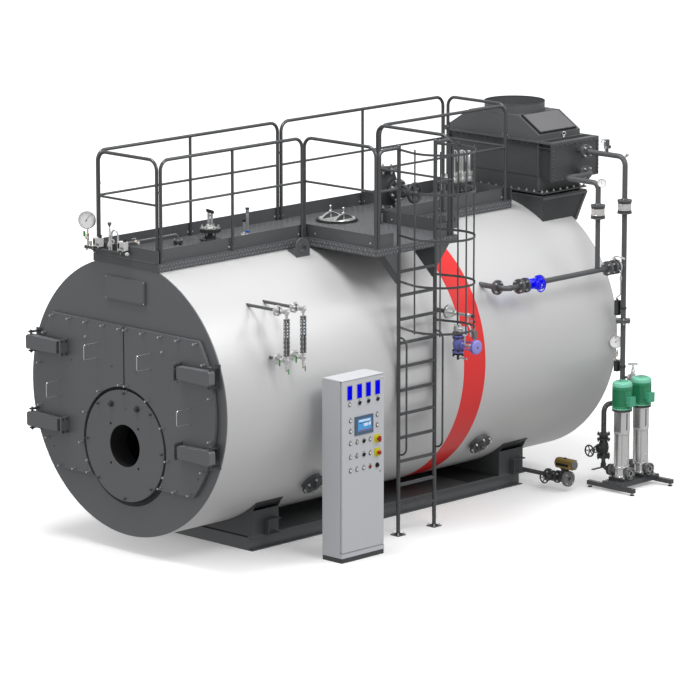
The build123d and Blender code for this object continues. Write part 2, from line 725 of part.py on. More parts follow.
# Instrument bar on the front kick plate
bar_y = front - deck_t - 54
bar_z = top_z + 70
dial_z = bar_z + 290
with BuildPart() as instrument_bar:
    rod((-566, bar_y, bar_z), (90, bar_y, bar_z), 16)
    for x in (-430, 30):
        block(x - 25, x + 25, bar_y - 10, front - deck_t, bar_z - 14, bar_z + 14)
    rod((-525, bar_y, bar_z), (-525, bar_y, dial_z - 82), 9)
    rod((-525, bar_y - 30, dial_z), (-525, bar_y + 22, dial_z), 95)
    rod((-525, bar_y, bar_z - 60), (-525, bar_y, bar_z), 14)
    for x, z in ((-458, bar_z + 133), (-105, bar_z + 38)):
        rod((x, bar_y, bar_z), (x, bar_y, z), 8)
        block(x - 42, x + 42, bar_y - 30, bar_y + 30, z, z + 110)
    rod((-300, bar_y, bar_z), (-300, bar_y, bar_z + 218), 6)

# Level gauges with their cocks
glass_x = level_face + 136
with BuildPart() as level_gauges:
    for station in level_stations:
        y = st(station)
        for z in (level_high, level_low):
            rod((level_face, y, z), (level_face + 16, y, z), 60)
            rod((level_face + 16, y, z), (glass_x + 22, y, z), 17)
            rod((glass_x, y, z - 38), (glass_x, y, z + 38), 24)
        block(glass_x - 18, glass_x + 18, y - 29, y + 29, level_low + 34, level_high - 74)
        rod((glass_x, y, level_high - 74), (glass_x, y, level_high), 13)
        rod((glass_x, y, level_low - 110), (glass_x, y, level_low + 34), 13)

# Surface blowdown valve with its diaphragm drive
with BuildPart() as surface_valve:
    y = st(sample_y)
    rod((sample_face, y, sample_z), (sample_face + 16, y, sample_z), 60)
    x = sample_face + 136
    z = sample_z - 361
    rod((sample_face + 16, y, sample_z), (x + 232, y, sample_z), 20)
    rod((x, y, z - 117), (x, y, sample_z), 20)
    for low in (z - 117, z + 108):
        rod((x, y, low), (x, y, low + 18), 58)
    rod((x, y, z - 52), (x, y, z + 53), 42)
    rod((x, y, z), (x + 202, y, z), 20)
    rod((x + 202, y, z), (x + 257, y, z), 34)
    rod((x + 257, y, z), (x + 292, y, z), 110)
    rod((x, y, z - 197), (x, y, z - 117), 14)

# Hand hole covers
with BuildPart() as hand_hole_covers:
    for station in hand_hole_stations:
        for r, near, far in ((140, 0, 25), (60, 25, 45), (16, 45, 80)):
            rod(((hand_hole_face + near) * math.cos(tilt), st(station),
                 axis_z + (hand_hole_face + near) * math.sin(tilt)),
                ((hand_hole_face + far) * math.cos(tilt), st(station),
                 axis_z + (hand_hole_face + far) * math.sin(tilt)), r)

# Economizer on its support over the rear of the shell
with BuildPart() as economizer_support:
    block(-eco_half, eco_half, st(eco_front), st(eco_back), eco_low, eco_low + eco_base_t)
    with BuildSketch(face_at(st(eco_front) + eco_sheet)):
        with Locations((0, (axis_z + eco_low) / 2)):
            Rectangle(2 * eco_half, eco_low - axis_z)
        with Locations((0, axis_z)):
            Circle(shell_r + curve_gap, mode=Mode.SUBTRACT)
    extrude(amount=eco_sheet)
    with BuildSketch(face_at(rear)):
        with Locations((0, (axis_z + eco_low) / 2)):
            Rectangle(2 * eco_half, eco_low - axis_z)
        with Locations((0, (axis_z + eco_low) / 2)):
            Rectangle(2 * (eco_half - eco_sheet), 3 * eco_low, mode=Mode.SUBTRACT)
        with Locations((0, axis_z)):
            Circle(shell_r + curve_gap, mode=Mode.SUBTRACT)
    extrude(amount=rear - st(eco_front))
    hop = eco_low - hopper_h
    for x0 in (-eco_half, eco_half - eco_sheet):
        with BuildSketch(Plane.YZ.offset(x0)):
            with BuildLine():
                Polyline((rear, eco_low), (st(eco_back), eco_low), (st(eco_back) - hopper_in, hop),
                         (rear, hop), close=True)
            make_face()
        extrude(amount=eco_sheet)
    with BuildSketch(Plane.YZ.offset(-eco_half)):
        with BuildLine():
            Polyline((st(eco_back), eco_low), (st(eco_back) - hopper_in, hop), (rear, hop),
                     (rear, hop + eco_sheet), (st(eco_back) - hopper_in - 7, hop + eco_sheet),
                     (st(eco_back) - 13, eco_low), close=True)
        make_face()
    extrude(amount=2 * eco_half)
    block(-casing_half + 60, casing_half - 60, st(eco_front) + 60, st(eco_back) - 60,
          eco_low - 1, eco_low + eco_base_t + 1, mode=Mode.SUBTRACT)

cas_y0 = st(eco_front) + 60
cas_y1 = st(eco_back) - 8
with BuildPart() as economizer_casing:
    seat = eco_low + eco_base_t
    for low in (seat, seat + 40):
        block(-eco_half, eco_half, st(eco_front), st(eco_back), low, low + eco_flange_t)
    block(-casing_half, casing_half, cas_y0, cas_y1, seat, eco_top)
    block(casing_half, cover_x - cover_t, cas_y0, cas_y1, cover_low + 20, eco_top)
    block(-casing_half + casing_wall, casing_half - casing_wall, cas_y0 + casing_wall,
          cas_y1 - casing_wall, seat - 1, eco_top + 1, mode=Mode.SUBTRACT)

with BuildPart() as economizer_covers:
    block(cover_x - cover_t, cover_x, st(eco_front) - 5, st(eco_back) + 45, cover_low, eco_top)
    for z in (upper_pipe_z, lower_pipe_z):
        rod((cover_x, st(riser_y), z), (cover_x + 120, st(riser_y), z), pipe_r)
        rod((cover_x + 120 - flange_t, st(riser_y), z), (cover_x + 120, st(riser_y), z), flange_r)

with BuildPart() as economizer_hood:
    block(-casing_half - casing_lip, cover_x, st(eco_front), st(eco_back) + 50, eco_top, hood_base)
    with BuildSketch(face_at(st(eco_back))):
        with BuildLine():
            Polyline((-hood_half, hood_base), (hood_half, hood_base), (hood_half, hood_rim),
                     (hood_top_half, hood_top), (-hood_top_half, hood_top), (-hood_half, hood_rim),
                     close=True)
        make_face()
    extrude(amount=hood_depth)
    with BuildSketch(face_at(st(eco_back) - flue_wall)):
        with BuildLine():
            Polyline((-hood_half + flue_wall, eco_top - 1), (hood_half - flue_wall, eco_top - 1),
                     (hood_half - flue_wall, hood_rim - 2), (hood_top_half - 2, hood_top - flue_wall),
                     (-hood_top_half + 2, hood_top - flue_wall), (-hood_half + flue_wall, hood_rim - 2),
                     close=True)
        make_face()
    extrude(amount=hood_depth - 2 * flue_wall, mode=Mode.SUBTRACT)
    rod((0, st(flue_y), hood_top - 10), (0, st(flue_y), hood_top + 10), flue_r - flue_wall,
        mode=Mode.SUBTRACT)

with BuildPart() as flue_stub:
    rod((0, st(flue_y), hood_top), (0, st(flue_y), flue_top), flue_r)
    rod((0, st(flue_y), hood_top), (0, st(flue_y), flue_top), flue_r - flue_wall,
        mode=Mode.SUBTRACT)

# Economizer pipes, check valves and feed pipes
eco_face = cover_x + 120
with BuildPart() as economizer_inlet_pipe:
    rod((eco_face, st(riser_y), upper_pipe_z), (eco_face + flange_t, st(riser_y), upper_pipe_z), flange_r)
    bent_bar([(eco_face + flange_t, st(riser_y), upper_pipe_z), (feed_x, st(riser_y), upper_pipe_z),
              (feed_x, st(riser_y), check_z + check_half)], pipe_r, 100)
    rod((feed_x, st(riser_y), check_z + check_half),
        (feed_x, st(riser_y), check_z + check_half + flange_t), flange_r)
    x = feed_x - 270
    rod((x, st(riser_y), upper_pipe_z), (x, st(riser_y), upper_pipe_z + 95), 16)
    rod((x, st(riser_y), upper_pipe_z + 95), (x, st(riser_y), upper_pipe_z + 170), 27)

with BuildPart() as economizer_outlet_pipe:
    rod((eco_face, st(riser_y), lower_pipe_z), (eco_face + flange_t, st(riser_y), lower_pipe_z), flange_r)
    bent_bar([(eco_face + flange_t, st(riser_y), lower_pipe_z), (eco_face + 100, st(riser_y), lower_pipe_z),
              (eco_face + 100, st(drop_y), lower_pipe_z), (feed_x, st(drop_y), lower_pipe_z),
              (feed_x, st(drop_y), check_z + check_half)], pipe_r, pipe_bend)
    rod((feed_x, st(drop_y), check_z + check_half),
        (feed_x, st(drop_y), check_z + check_half + flange_t), flange_r)

with BuildPart() as check_valves:
    for y in (st(riser_y), st(drop_y)):
        rod((feed_x, y, check_z - check_half), (feed_x, y, check_z + check_half), 55)

wafer_y = st(riser_y) - 170
with BuildPart() as feed_riser:
    rod((feed_x, st(riser_y), check_z - check_half - flange_t),
        (feed_x, st(riser_y), check_z - check_half), flange_r)
    rod((feed_x, st(riser_y), manifold_z + 70), (feed_x, st(riser_y), check_z - check_half), pipe_r)
    rod((feed_x, st(riser_y), feed_z - 660), (feed_x, st(riser_y), feed_z - 660 + 2 * flange_t), flange_r)
    rod((feed_x, st(riser_y), feed_z), (feed_x, wafer_y + wafer_half, feed_z), pipe_r - 1.5)
    rod((feed_x, wafer_y + wafer_half, feed_z), (feed_x, wafer_y + wafer_half + flange_t, feed_z), flange_r)

with BuildPart() as feed_line:
    rod((feed_x, st(drop_y), check_z - check_half - flange_t),
        (feed_x, st(drop_y), check_z - check_half), flange_r)
    rod((feed_x, st(drop_y), feed_z), (feed_x, st(drop_y), check_z - check_half), pipe_r - 1.5)
    rod((feed_x, wafer_y - wafer_half, feed_z), (feed_x, wafer_y + wafer_half, feed_z), 62)
    rod((feed_x, wafer_y - wafer_half - flange_t, feed_z), (feed_x, wafer_y - wafer_half, feed_z), flange_r)
    rod((feed_x, st(feed_valve_y) + valve_half, feed_z), (feed_x, wafer_y - wafer_half, feed_z), pipe_r)
    rod((feed_x, st(feed_valve_y) + valve_half, feed_z),
        (feed_x, st(feed_valve_y) + valve_half + flange_t, feed_z), flange_r)
    rod((feed_x, wafer_y - 130, feed_z), (feed_x, wafer_y - 130 + 2 * flange_t, feed_z), flange_r)

with BuildPart() as feed_elbow:
    rod((feed_face, st(feed_stub_y), feed_z), (feed_face + flange_t, st(feed_stub_y), feed_z), flange_r)
    bent_bar([(feed_face + flange_t, st(feed_stub_y), feed_z), (feed_x, st(feed_stub_y), feed_z),
              (feed_x, st(feed_valve_y) - valve_half, feed_z)], pipe_r, pipe_bend)
    rod((feed_x, st(feed_valve_y) - valve_half - flange_t, feed_z),
        (feed_x, st(feed_valve_y) - valve_half, feed_z), flange_r)
    rod((feed_x, st(feed_valve_y) - 235, feed_z),
        (feed_x, st(feed_valve_y) - 235 + 2 * flange_t, feed_z), flange_r)

with BuildPart() as feed_valve:
    y = st(feed_valve_y)
    for end in (y - valve_half, y + valve_half - flange_t):
        rod((feed_x, end, feed_z), (feed_x, end + flange_t, feed_z), flange_r)
    rod((feed_x, y - valve_half, feed_z), (feed_x, y + valve_half, feed_z), 36)
    with Locations((feed_x, y, feed_z)):
        Sphere(58)
    rod((feed_x, y, feed_z), (feed_x + 62, y, feed_z), 44)
    rod((feed_x + 62, y, feed_z), (feed_x + 76, y, feed_z), 56)
    rod((feed_x + 76, y, feed_z), (feed_x + 112, y, feed_z), 20)
    rod((feed_x + 80, y, feed_z), (feed_x + 120, y, feed_z), 8 + stem_clearance, mode=Mode.SUBTRACT)

with BuildPart() as feed_valve_wheel:
    hand_wheel((feed_x + 130, y, feed_z), (1, 0, 0), 80, 14, 8, 46)

# Pump set
with BuildPart() as pump_base:
    for y in (st(base_y0), st(base_y1)):
        block(base_x0, base_x1, y - runner / 2, y + runner / 2, 0, runner)
    for x in (pump_x - 90, pump_x + 90):
        block(x - runner / 2, x + runner / 2, st(base_y0) - runner / 2, st(base_y1) + runner / 2,
              runner, pump_base_z)

with BuildPart() as pumps:
    for station in pump_ys:
        y = st(station)
        block(pump_x - 115, pump_x + 115, y - 85, y + 85, pump_base_z, pump_base_z + 30)
        rod((pump_x, y, pump_base_z + 30), (pump_x, y, pump_base_z + 160), 92)
        for x in (pump_x - 163, pump_x + 136):
            rod((pump_x, y, port_z), (x, y, port_z), 30)
        rod((pump_x - 163, y, port_z), (pump_x - 145, y, port_z), 65)
        rod((pump_x + 127, y, port_z), (pump_x + 145, y, port_z), 65)
        rod((pump_x, y, pump_base_z + 160), (pump_x, y, motor_low - 290), 66)
        rod((pump_x, y, motor_low - 290), (pump_x, y, motor_low - 265), 88)
        rod((pump_x, y, motor_low - 265), (pump_x, y, motor_low - 20), 72)
        rod((pump_x, y, motor_low - 20), (pump_x, y, motor_low), 100)

with BuildPart() as pump_motors:
    for station in pump_ys:
        y = st(station)
        rod((pump_x, y, motor_low), (pump_x, y, motor_high - 50), motor_r)
        rod((pump_x, y, motor_high - 50), (pump_x, y, motor_high), motor_r - 6)
        block(pump_x + 20, pump_x + motor_r + 45, y - 55, y + 55, motor_low + 90, motor_low + 200)

valve_y = st(pump_ys[0])
with BuildPart() as pump_pipes:
    for station in pump_ys:
        y = st(station)
        rod((pump_x - 181, y, port_z), (pump_x - 163, y, port_z), 65)
        bent_bar([(pump_x - 181, y, port_z), (manifold_x, y, port_z), (manifold_x, y, manifold_z)],
                 24, 60)
        for z, t, r in ((322, 36, 75), (530, 16, 75), (546, 40, 52), (586, 16, 75)):
            rod((manifold_x, y, z), (manifold_x, y, z + t), r)
        rod((manifold_x, y, 385), (manifold_x, y, 495), 46)
    rod((manifold_x, st(pump_ys[0]) - 25, manifold_z), (manifold_x, st(pump_ys[1]) + 25, manifold_z), 31)
    rod((manifold_x, valve_y, 440), (manifold_x, valve_y - 150, 440), 24)
    rod((manifold_x, valve_y - 90, 440), (manifold_x, valve_y - 160, 440), 7 + stem_clearance,
        mode=Mode.SUBTRACT)
    rod((feed_x, st(riser_y), manifold_z), (feed_x, st(riser_y), manifold_z + 70), pipe_r)
    with Locations(((feed_x + manifold_x) / 2, st(riser_y), manifold_z)):
        Sphere(50)

with BuildPart() as pump_valve_wheel:
    hand_wheel((manifold_x, valve_y - 178, 440), (0, -1, 0), 71, 13, 7, 60)

# Blowdown line with gate valve, ball valve and pneumatic drive
gate_x = shell_r - 200.0
ball_x = gate_x + 180.0
with BuildPart() as blowdown_pipe:
    yb = st(blow_y)
    low = shell_clear - 14
    rod((0, yb, blow_z), (0, yb, low), blow_r)
    rod((-blow_r, yb, blow_z), (gate_x - 75, yb, blow_z), blow_r)
    rod((gate_x - 91, yb, blow_z), (gate_x - 75, yb, blow_z), 72)

with BuildPart() as blowdown_valve:
    for x in (gate_x - 75, gate_x + 59):
        rod((x, yb, blow_z), (x + 16, yb, blow_z), 72)
    rod((gate_x - 75, yb, blow_z), (gate_x + 75, yb, blow_z), 32)
    rod((gate_x, yb, blow_z), (gate_x, yb - 60, blow_z), 42)
    rod((gate_x, yb - 60, blow_z), (gate_x, yb - 125, blow_z), 18)
    rod((gate_x, yb - 70, blow_z), (gate_x, yb - 130, blow_z), 7 + stem_clearance, mode=Mode.SUBTRACT)

with BuildPart() as blowdown_valve_wheel:
    hand_wheel((gate_x, yb - 150, blow_z), (0, -1, 0), 68, 13, 7, 60)

with BuildPart() as blowdown_actuator:
    rod((gate_x + 75, yb, blow_z), (gate_x + 91, yb, blow_z), 72)
    rod((gate_x + 75, yb, blow_z), (ball_x + 70, yb, blow_z), 28)
    with Locations((ball_x, yb, blow_z)):
        Sphere(48)
    rod((ball_x + 54, yb, blow_z), (ball_x + 72, yb, blow_z), 78)
    rod((ball_x, yb, blow_z), (ball_x, yb, blow_z + 125), 20)
    rod((ball_x - 110, yb, blow_z + 176), (ball_x + 190, yb, blow_z + 176), 60)

# Control cabinet
cab_back = cab_face - cab_depth
cab_y0 = st(cab_front)
cab_y1 = cab_y0 + cab_width
shell_face = cab_face - cab_leaf - cab_gap
cab_axis = (cab_face - cab_leaf / 2, cab_y0 + 15)
with BuildPart() as cabinet_body:
    block(cab_back + 5, shell_face - 5, cab_y0 + 5, cab_y1 - 5, 0, cab_plinth)
    block(cab_back + 8, shell_face - 8, cab_y0 + 8, cab_y1 - 8, -1, cab_plinth - 5, mode=Mode.SUBTRACT)
    block(cab_back, shell_face, cab_y0, cab_y1, cab_plinth, cab_h)
    block(cab_back + cab_sheet, shell_face + 1, cab_y0 + cab_sheet, cab_y1 - cab_sheet,
          cab_plinth + cab_sheet, cab_h - cab_sheet, mode=Mode.SUBTRACT)
    block(shell_face, cab_face, cab_y0, cab_y1, cab_h - 5, cab_h)
    block(shell_face, cab_face, cab_y0, cab_y1, cab_plinth, cab_plinth + 5)
    for low, high in ((cab_plinth + 5, cab_plinth + 35), (cab_h - 35, cab_h - 5)):
        rod((cab_axis[0], cab_axis[1], low), (cab_axis[0], cab_axis[1], high), cab_pin_r)
    block(cab_back + 20, cab_back + 23, cab_y0 + 40, cab_y1 - 40, cab_plinth + 60, cab_h - 60)
    for z in (cab_plinth + 80, cab_h - 100):
        block(cab_back + cab_sheet, cab_back + 20, cab_y0 + 60, cab_y1 - 60, z, z + 20)

with BuildPart() as cabinet_door:
    block(cab_face - cab_leaf, cab_face, cab_y0 + 5, cab_y1 - 5, cab_plinth + 10, cab_h - 10)
    for low, high in ((cab_plinth, cab_plinth + 40), (cab_h - 40, cab_h)):
        rod((cab_axis[0], cab_axis[1], low), (cab_axis[0], cab_axis[1], high), cab_pin_r + stem_clearance,
            mode=Mode.SUBTRACT)

pieces = {
    "shell_jacket": shell_jacket, "pressure_shell": pressure_shell,
    "front_tube_plate": front_tube_plate, "rear_tube_plate": rear_tube_plate,
    "furnace_tube": furnace_tube, "rear_plate": rear_plate, "front_plate": front_plate,
    "burner_plate": burner_plate, "name_plate": name_plate, "right_door": right_door,
    "left_door": left_door, "hinge_brackets": hinge_brackets, "skid": skid,
    "front_saddle": front_saddle, "rear_saddle": rear_saddle, "belly_plate": belly_plate,
    "deck": deck, "landing": landing, "ladder": ladder, "ladder_cage": ladder_cage,
    "left_railing": left_railing, "right_front_railing": right_front_railing,
    "right_rear_railing": right_rear_railing, "front_railing": front_railing,
    "rear_railing": rear_railing, "landing_railings": landing_railings,
    "level_probes": level_probes, "manhole_lid": manhole_lid, "steam_valve": steam_valve,
    "steam_valve_wheel": steam_valve_wheel, "safety_valves": safety_valves,
    "gauge_pipe": gauge_pipe, "instrument_bar": instrument_bar, "level_gauges": level_gauges,
    "surface_valve": surface_valve, "hand_hole_covers": hand_hole_covers,
    "economizer_support": economizer_support, "economizer_casing": economizer_casing,
    "economizer_covers": economizer_covers, "economizer_hood": economizer_hood,
    "flue_stub": flue_stub, "economizer_inlet_pipe": economizer_inlet_pipe,
    "economizer_outlet_pipe": economizer_outlet_pipe, "check_valves": check_valves,
    "feed_riser": feed_riser, "feed_line": feed_line, "feed_elbow": feed_elbow,
    "feed_valve": feed_valve, "feed_valve_wheel": feed_valve_wheel, "pump_base": pump_base,
    "pumps": pumps, "pump_motors": pump_motors, "pump_pipes": pump_pipes,
    "pump_valve_wheel": pump_valve_wheel, "blowdown_pipe": blowdown_pipe,
    "blowdown_valve": blowdown_valve, "blowdown_valve_wheel": blowdown_valve_wheel,
    "blowdown_actuator": blowdown_actuator, "cabinet_body": cabinet_body,
    "cabinet_door": cabinet_door,
}
for name, piece in pieces.items():
    piece.part.label = name
    export_step(piece.part, "parts/" + name + ".step")
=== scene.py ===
"""Looks of an industrial steam boiler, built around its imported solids. Metres, floor at z 0."""
import json
import math

import bmesh
import bpy
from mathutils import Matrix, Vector


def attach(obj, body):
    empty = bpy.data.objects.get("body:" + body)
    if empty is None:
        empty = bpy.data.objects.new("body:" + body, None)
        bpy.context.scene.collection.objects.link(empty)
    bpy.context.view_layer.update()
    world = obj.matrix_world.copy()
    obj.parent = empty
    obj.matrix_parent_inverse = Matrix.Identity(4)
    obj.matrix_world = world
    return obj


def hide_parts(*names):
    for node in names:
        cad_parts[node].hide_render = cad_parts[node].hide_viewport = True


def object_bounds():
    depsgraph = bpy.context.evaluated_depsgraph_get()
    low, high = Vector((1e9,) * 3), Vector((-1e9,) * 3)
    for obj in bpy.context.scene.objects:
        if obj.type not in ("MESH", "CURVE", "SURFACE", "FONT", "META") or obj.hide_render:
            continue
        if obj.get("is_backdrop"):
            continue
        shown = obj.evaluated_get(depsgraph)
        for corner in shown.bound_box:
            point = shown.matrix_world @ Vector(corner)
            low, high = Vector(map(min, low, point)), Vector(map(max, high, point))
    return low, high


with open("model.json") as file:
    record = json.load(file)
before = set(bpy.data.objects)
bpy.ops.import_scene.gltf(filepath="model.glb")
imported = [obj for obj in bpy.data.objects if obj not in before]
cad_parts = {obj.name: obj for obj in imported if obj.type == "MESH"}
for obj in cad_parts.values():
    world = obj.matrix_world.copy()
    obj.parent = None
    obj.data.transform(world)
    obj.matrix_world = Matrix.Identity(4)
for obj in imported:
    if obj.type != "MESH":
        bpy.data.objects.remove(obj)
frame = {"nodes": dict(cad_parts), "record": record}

CAD_BOX = [list(corner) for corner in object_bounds()]

bl_info = {
    "name": "Industrial steam boiler",
    "version": (1, 0, 0),
    "blender": (4, 5, 0),
    "location": "3D View > Sidebar > Boiler",
    "description": "Dresses the boiler's solids with cladding, fittings, fasteners and finishes",
    "category": "Object",
}

# Main places, in metres
AXIS_Z = 1.692
SHELL_R = 1.5
TOP_Z = AXIS_Z + SHELL_R
BURNER_Z = 1.178
WALK_Z = 3.1995
RAIL_TOP = 4.2915
MID_RAIL_Z = WALK_Z + 0.613
FOLD = 0.086
KICK = 0.141
LADDER_X = 1.53
FEED_X = 1.63
FEED_Z = 2.51
PUMP_X = 1.87
MOTOR_LOW = 0.93
ARM_LEVELS = (2.13, 1.28)
LADDER_YS = (-0.539, 0.031)
# Nozzles on the shell's top: station, neck radius, flange radius, height of the face
TOP_NOZZLES = ((1.235, 0.045, 0.117, 0.064), (3.985, 0.084, 0.1425, 0.044),
               (5.07, 0.038, 0.066, 0.078), (5.21, 0.034, 0.055, 0.078),
               (5.33, 0.034, 0.055, 0.078), (4.894, 0.022, 0.04, 0.078))
THIN_PROBES = (1.745, 1.795)
LEVEL_STATIONS = (0.738, 0.984)
LEVEL_HIGH = 2.744
LEVEL_LOW = 2.228
HAND_HOLES = (1.631, 4.283)
UP, DOWN = (0, 0, 1), (0, 0, -1)
RIGHT, LEFT = (1, 0, 0), (-1, 0, 0)
BACK, FRONT = (0, 1, 0), (0, -1, 0)
STEEL, CAST, ZINC = "bright_steel", "cast_paint", "zinc_bolt"
TURN = 2 * math.pi
SHARP = math.radians(34)


def st(station):
    """Y of a station measured from the front plate."""
    return station - 3.1


def colour_property(name, description, default):
    return bpy.props.FloatVectorProperty(
        name=name, description=description, default=default, size=3, min=0, max=1, subtype="COLOR")


def length_property(name, description, default):
    return bpy.props.FloatProperty(
        name=name, description=description, default=default, unit="LENGTH")


class BoilerSizes(bpy.types.PropertyGroup):
    band_start: length_property("Band start", "Station where the painted band begins", 3.635)
    band_width: length_property("Band width", "Width of the painted band round the shell", 0.35)
    stud_across: length_property("Stud nut", "Width across flats of the door studs' nuts", 0.023)
    stud_proud: length_property("Stud length", "How far the door studs stand out", 0.042)
    rail_radius: length_property("Rail radius", "Radius of the railing tubes", 0.0185)
    rung_pitch: length_property("Rung pitch", "Distance between the ladder's rungs", 0.2612)
    tread_pitch: length_property("Tread pitch", "Spacing of the deck plate's raised bars", 0.05)


class BoilerColours(bpy.types.PropertyGroup):
    steelwork: colour_property("Steelwork", "Dark grey paint of steelwork", (0.091, 0.095, 0.1))
    cladding: colour_property("Cladding", "Bright sheet round the shell", (0.66, 0.66, 0.66))
    band: colour_property("Band", "Painted band", (0.8, 0.022, 0.022))
    cabinet: colour_property("Cabinet", "Control cabinet paint", (0.57, 0.58, 0.61))
    feed_valve: colour_property("Feed valve", "Paint of the feed stop valve", (0.0, 0.0, 0.62))
    drain_valve: colour_property("Drain valve", "Surface drain valve paint", (0.17, 0.165, 0.5))
    motor: colour_property("Motor", "Pump motor paint", (0.025, 0.27, 0.125))
    drive: colour_property("Drive", "Anodised case of the valve drive", (0.42, 0.3, 0.1))


SOCKET_KINDS = {"Geometry": "Geometry", "Finish": "Material", "Vector": "Vector",
                "Paint": "Color", "Metal": "Color", "Colour": "Color"}


def add(tree, kind, ports=(), **settings):
    """New node with its settings; a port takes a value or another node's socket."""
    node = tree.nodes.new(kind)
    for key, value in settings.items():
        setattr(node, key, value)
    for port, value in dict(ports).items():
        if isinstance(value, bpy.types.NodeSocket):
            tree.links.new(value, node.inputs[port])
        else:
            node.inputs[port].default_value = value
    return node


def new_group(kind, name, inputs, outputs):
    """Empty node group; a socket's kind follows its label, and the others hold numbers."""
    group = bpy.data.node_groups.new(name, kind)
    for way, sockets in (("INPUT", inputs), ("OUTPUT", dict.fromkeys(outputs))):
        for label, default in sockets.items():
            socket = group.interface.new_socket(
                label, in_out=way, socket_type="NodeSocket" + SOCKET_KINDS.get(label, "Float"))
            if default is not None:
                socket.default_value = default
    return (group, group.nodes.new("NodeGroupInput").outputs,
            group.nodes.new("NodeGroupOutput").inputs)


def skin_group(name, inputs, look):
    """Shader group of a surface; look gives its change of shade, of gloss, and its height."""
    group, given, out = new_group("ShaderNodeTree", name, {"Vector": None, **inputs},
                                  ("Colour", "Roughness", "Height"))

    def maths(operation, a, b):
        return add(group, "ShaderNodeMath", {0: a, 1: b}, operation=operation).outputs[0]

    def noise(scale, detail, rough=0.5, stretch=None):
        """Noise, and the same centred on zero."""
        place = given["Vector"]
        if stretch:
            place = add(group, "ShaderNodeVectorMath", {0: place, 1: stretch},
                        operation="MULTIPLY").outputs[0]
        level = add(group, "ShaderNodeTexNoise", {"Vector": place, "Scale": scale,
                    "Detail": detail, "Roughness": rough}).outputs["Fac"]
        return level, maths("SUBTRACT", level, 0.5)

    shade, shift, height = look(given, maths, noise)
    tinted = add(group, "ShaderNodeVectorMath", {0: given[1], "Scale": maths("ADD", shade, 1.0)},
                 operation="SCALE")
    group.links.new(tinted.outputs[0], out["Colour"])
    group.links.new(maths("ADD", shift, given["Gloss"]), out["Roughness"])
    group.links.new(height, out["Height"])
    return group


def paint_look(given, maths, noise):
    """Sprayed paint: cloudy shade, orange peel and uneven gloss."""
    _, cloud = noise(1.7, 4.0, 0.6)
    peel, dust = noise(given["Peel"], 2.0)
    swing = maths("MULTIPLY", cloud, given["Cloud"])
    return (maths("ADD", swing, maths("MULTIPLY", dust, 0.1)), maths("MULTIPLY", cloud, 0.25),
            peel)


def sheet_look(given, maths, noise):
    """Thin rolled sheet: long soft waves and a faint grain round the shell."""
    wave, cloud = noise(0.75, 1.5, 0.45, (1.0, 0.42, 1.0))
    _, grain = noise(7.0, 3.0, 0.6, (1.0, 40.0, 1.0))
    shade = maths("ADD", maths("MULTIPLY", grain, 0.05), maths("MULTIPLY", cloud, 0.1))
    return shade, maths("MULTIPLY", grain, 0.12), wave


def metal_look(given, maths, noise):
    """Bright fittings: fine lathe marks and small smears."""
    _, smear = noise(9.0, 4.0, 0.6)
    marks, _ = noise(220.0, 2.0)
    swing = maths("MULTIPLY", smear, given["Smear"])
    return swing, maths("MULTIPLY", swing, 0.5), marks


def finish_material(name, group, values, metallic=0.0, bump=0.1, depth=0.001, coat=0.0,
                    specular=0.5, glow=None):
    """Material on Object coordinates: one shared group feeds the main shader."""
    material = bpy.data.materials.new(name)
    material.use_nodes = True
    tree = material.node_tree
    place = add(tree, "ShaderNodeTexCoord").outputs["Object"]
    skin = add(tree, "ShaderNodeGroup", node_tree=group)
    tree.links.new(place, skin.inputs["Vector"])
    for label, value in values.items():
        skin.inputs[label].default_value = (*value, 1.0) if isinstance(value, tuple) else value
    relief = add(tree, "ShaderNodeBump", {"Strength": bump, "Distance": depth,
                                          "Height": skin.outputs["Height"]})
    shader = tree.nodes["Principled BSDF"].inputs
    for label, socket in (("Base Color", skin.outputs["Colour"]), ("Normal", relief.outputs[0]),
                          ("Roughness", skin.outputs["Roughness"])):
        tree.links.new(socket, shader[label])
    shader["Metallic"].default_value = metallic
    shader["Coat Weight"].default_value = coat
    shader["Specular IOR Level"].default_value = specular
    if glow:
        shader["Emission Color"].default_value = (*glow[0], 1.0)
        shader["Emission Strength"].default_value = glow[1]
    return material


FINISHES = {}


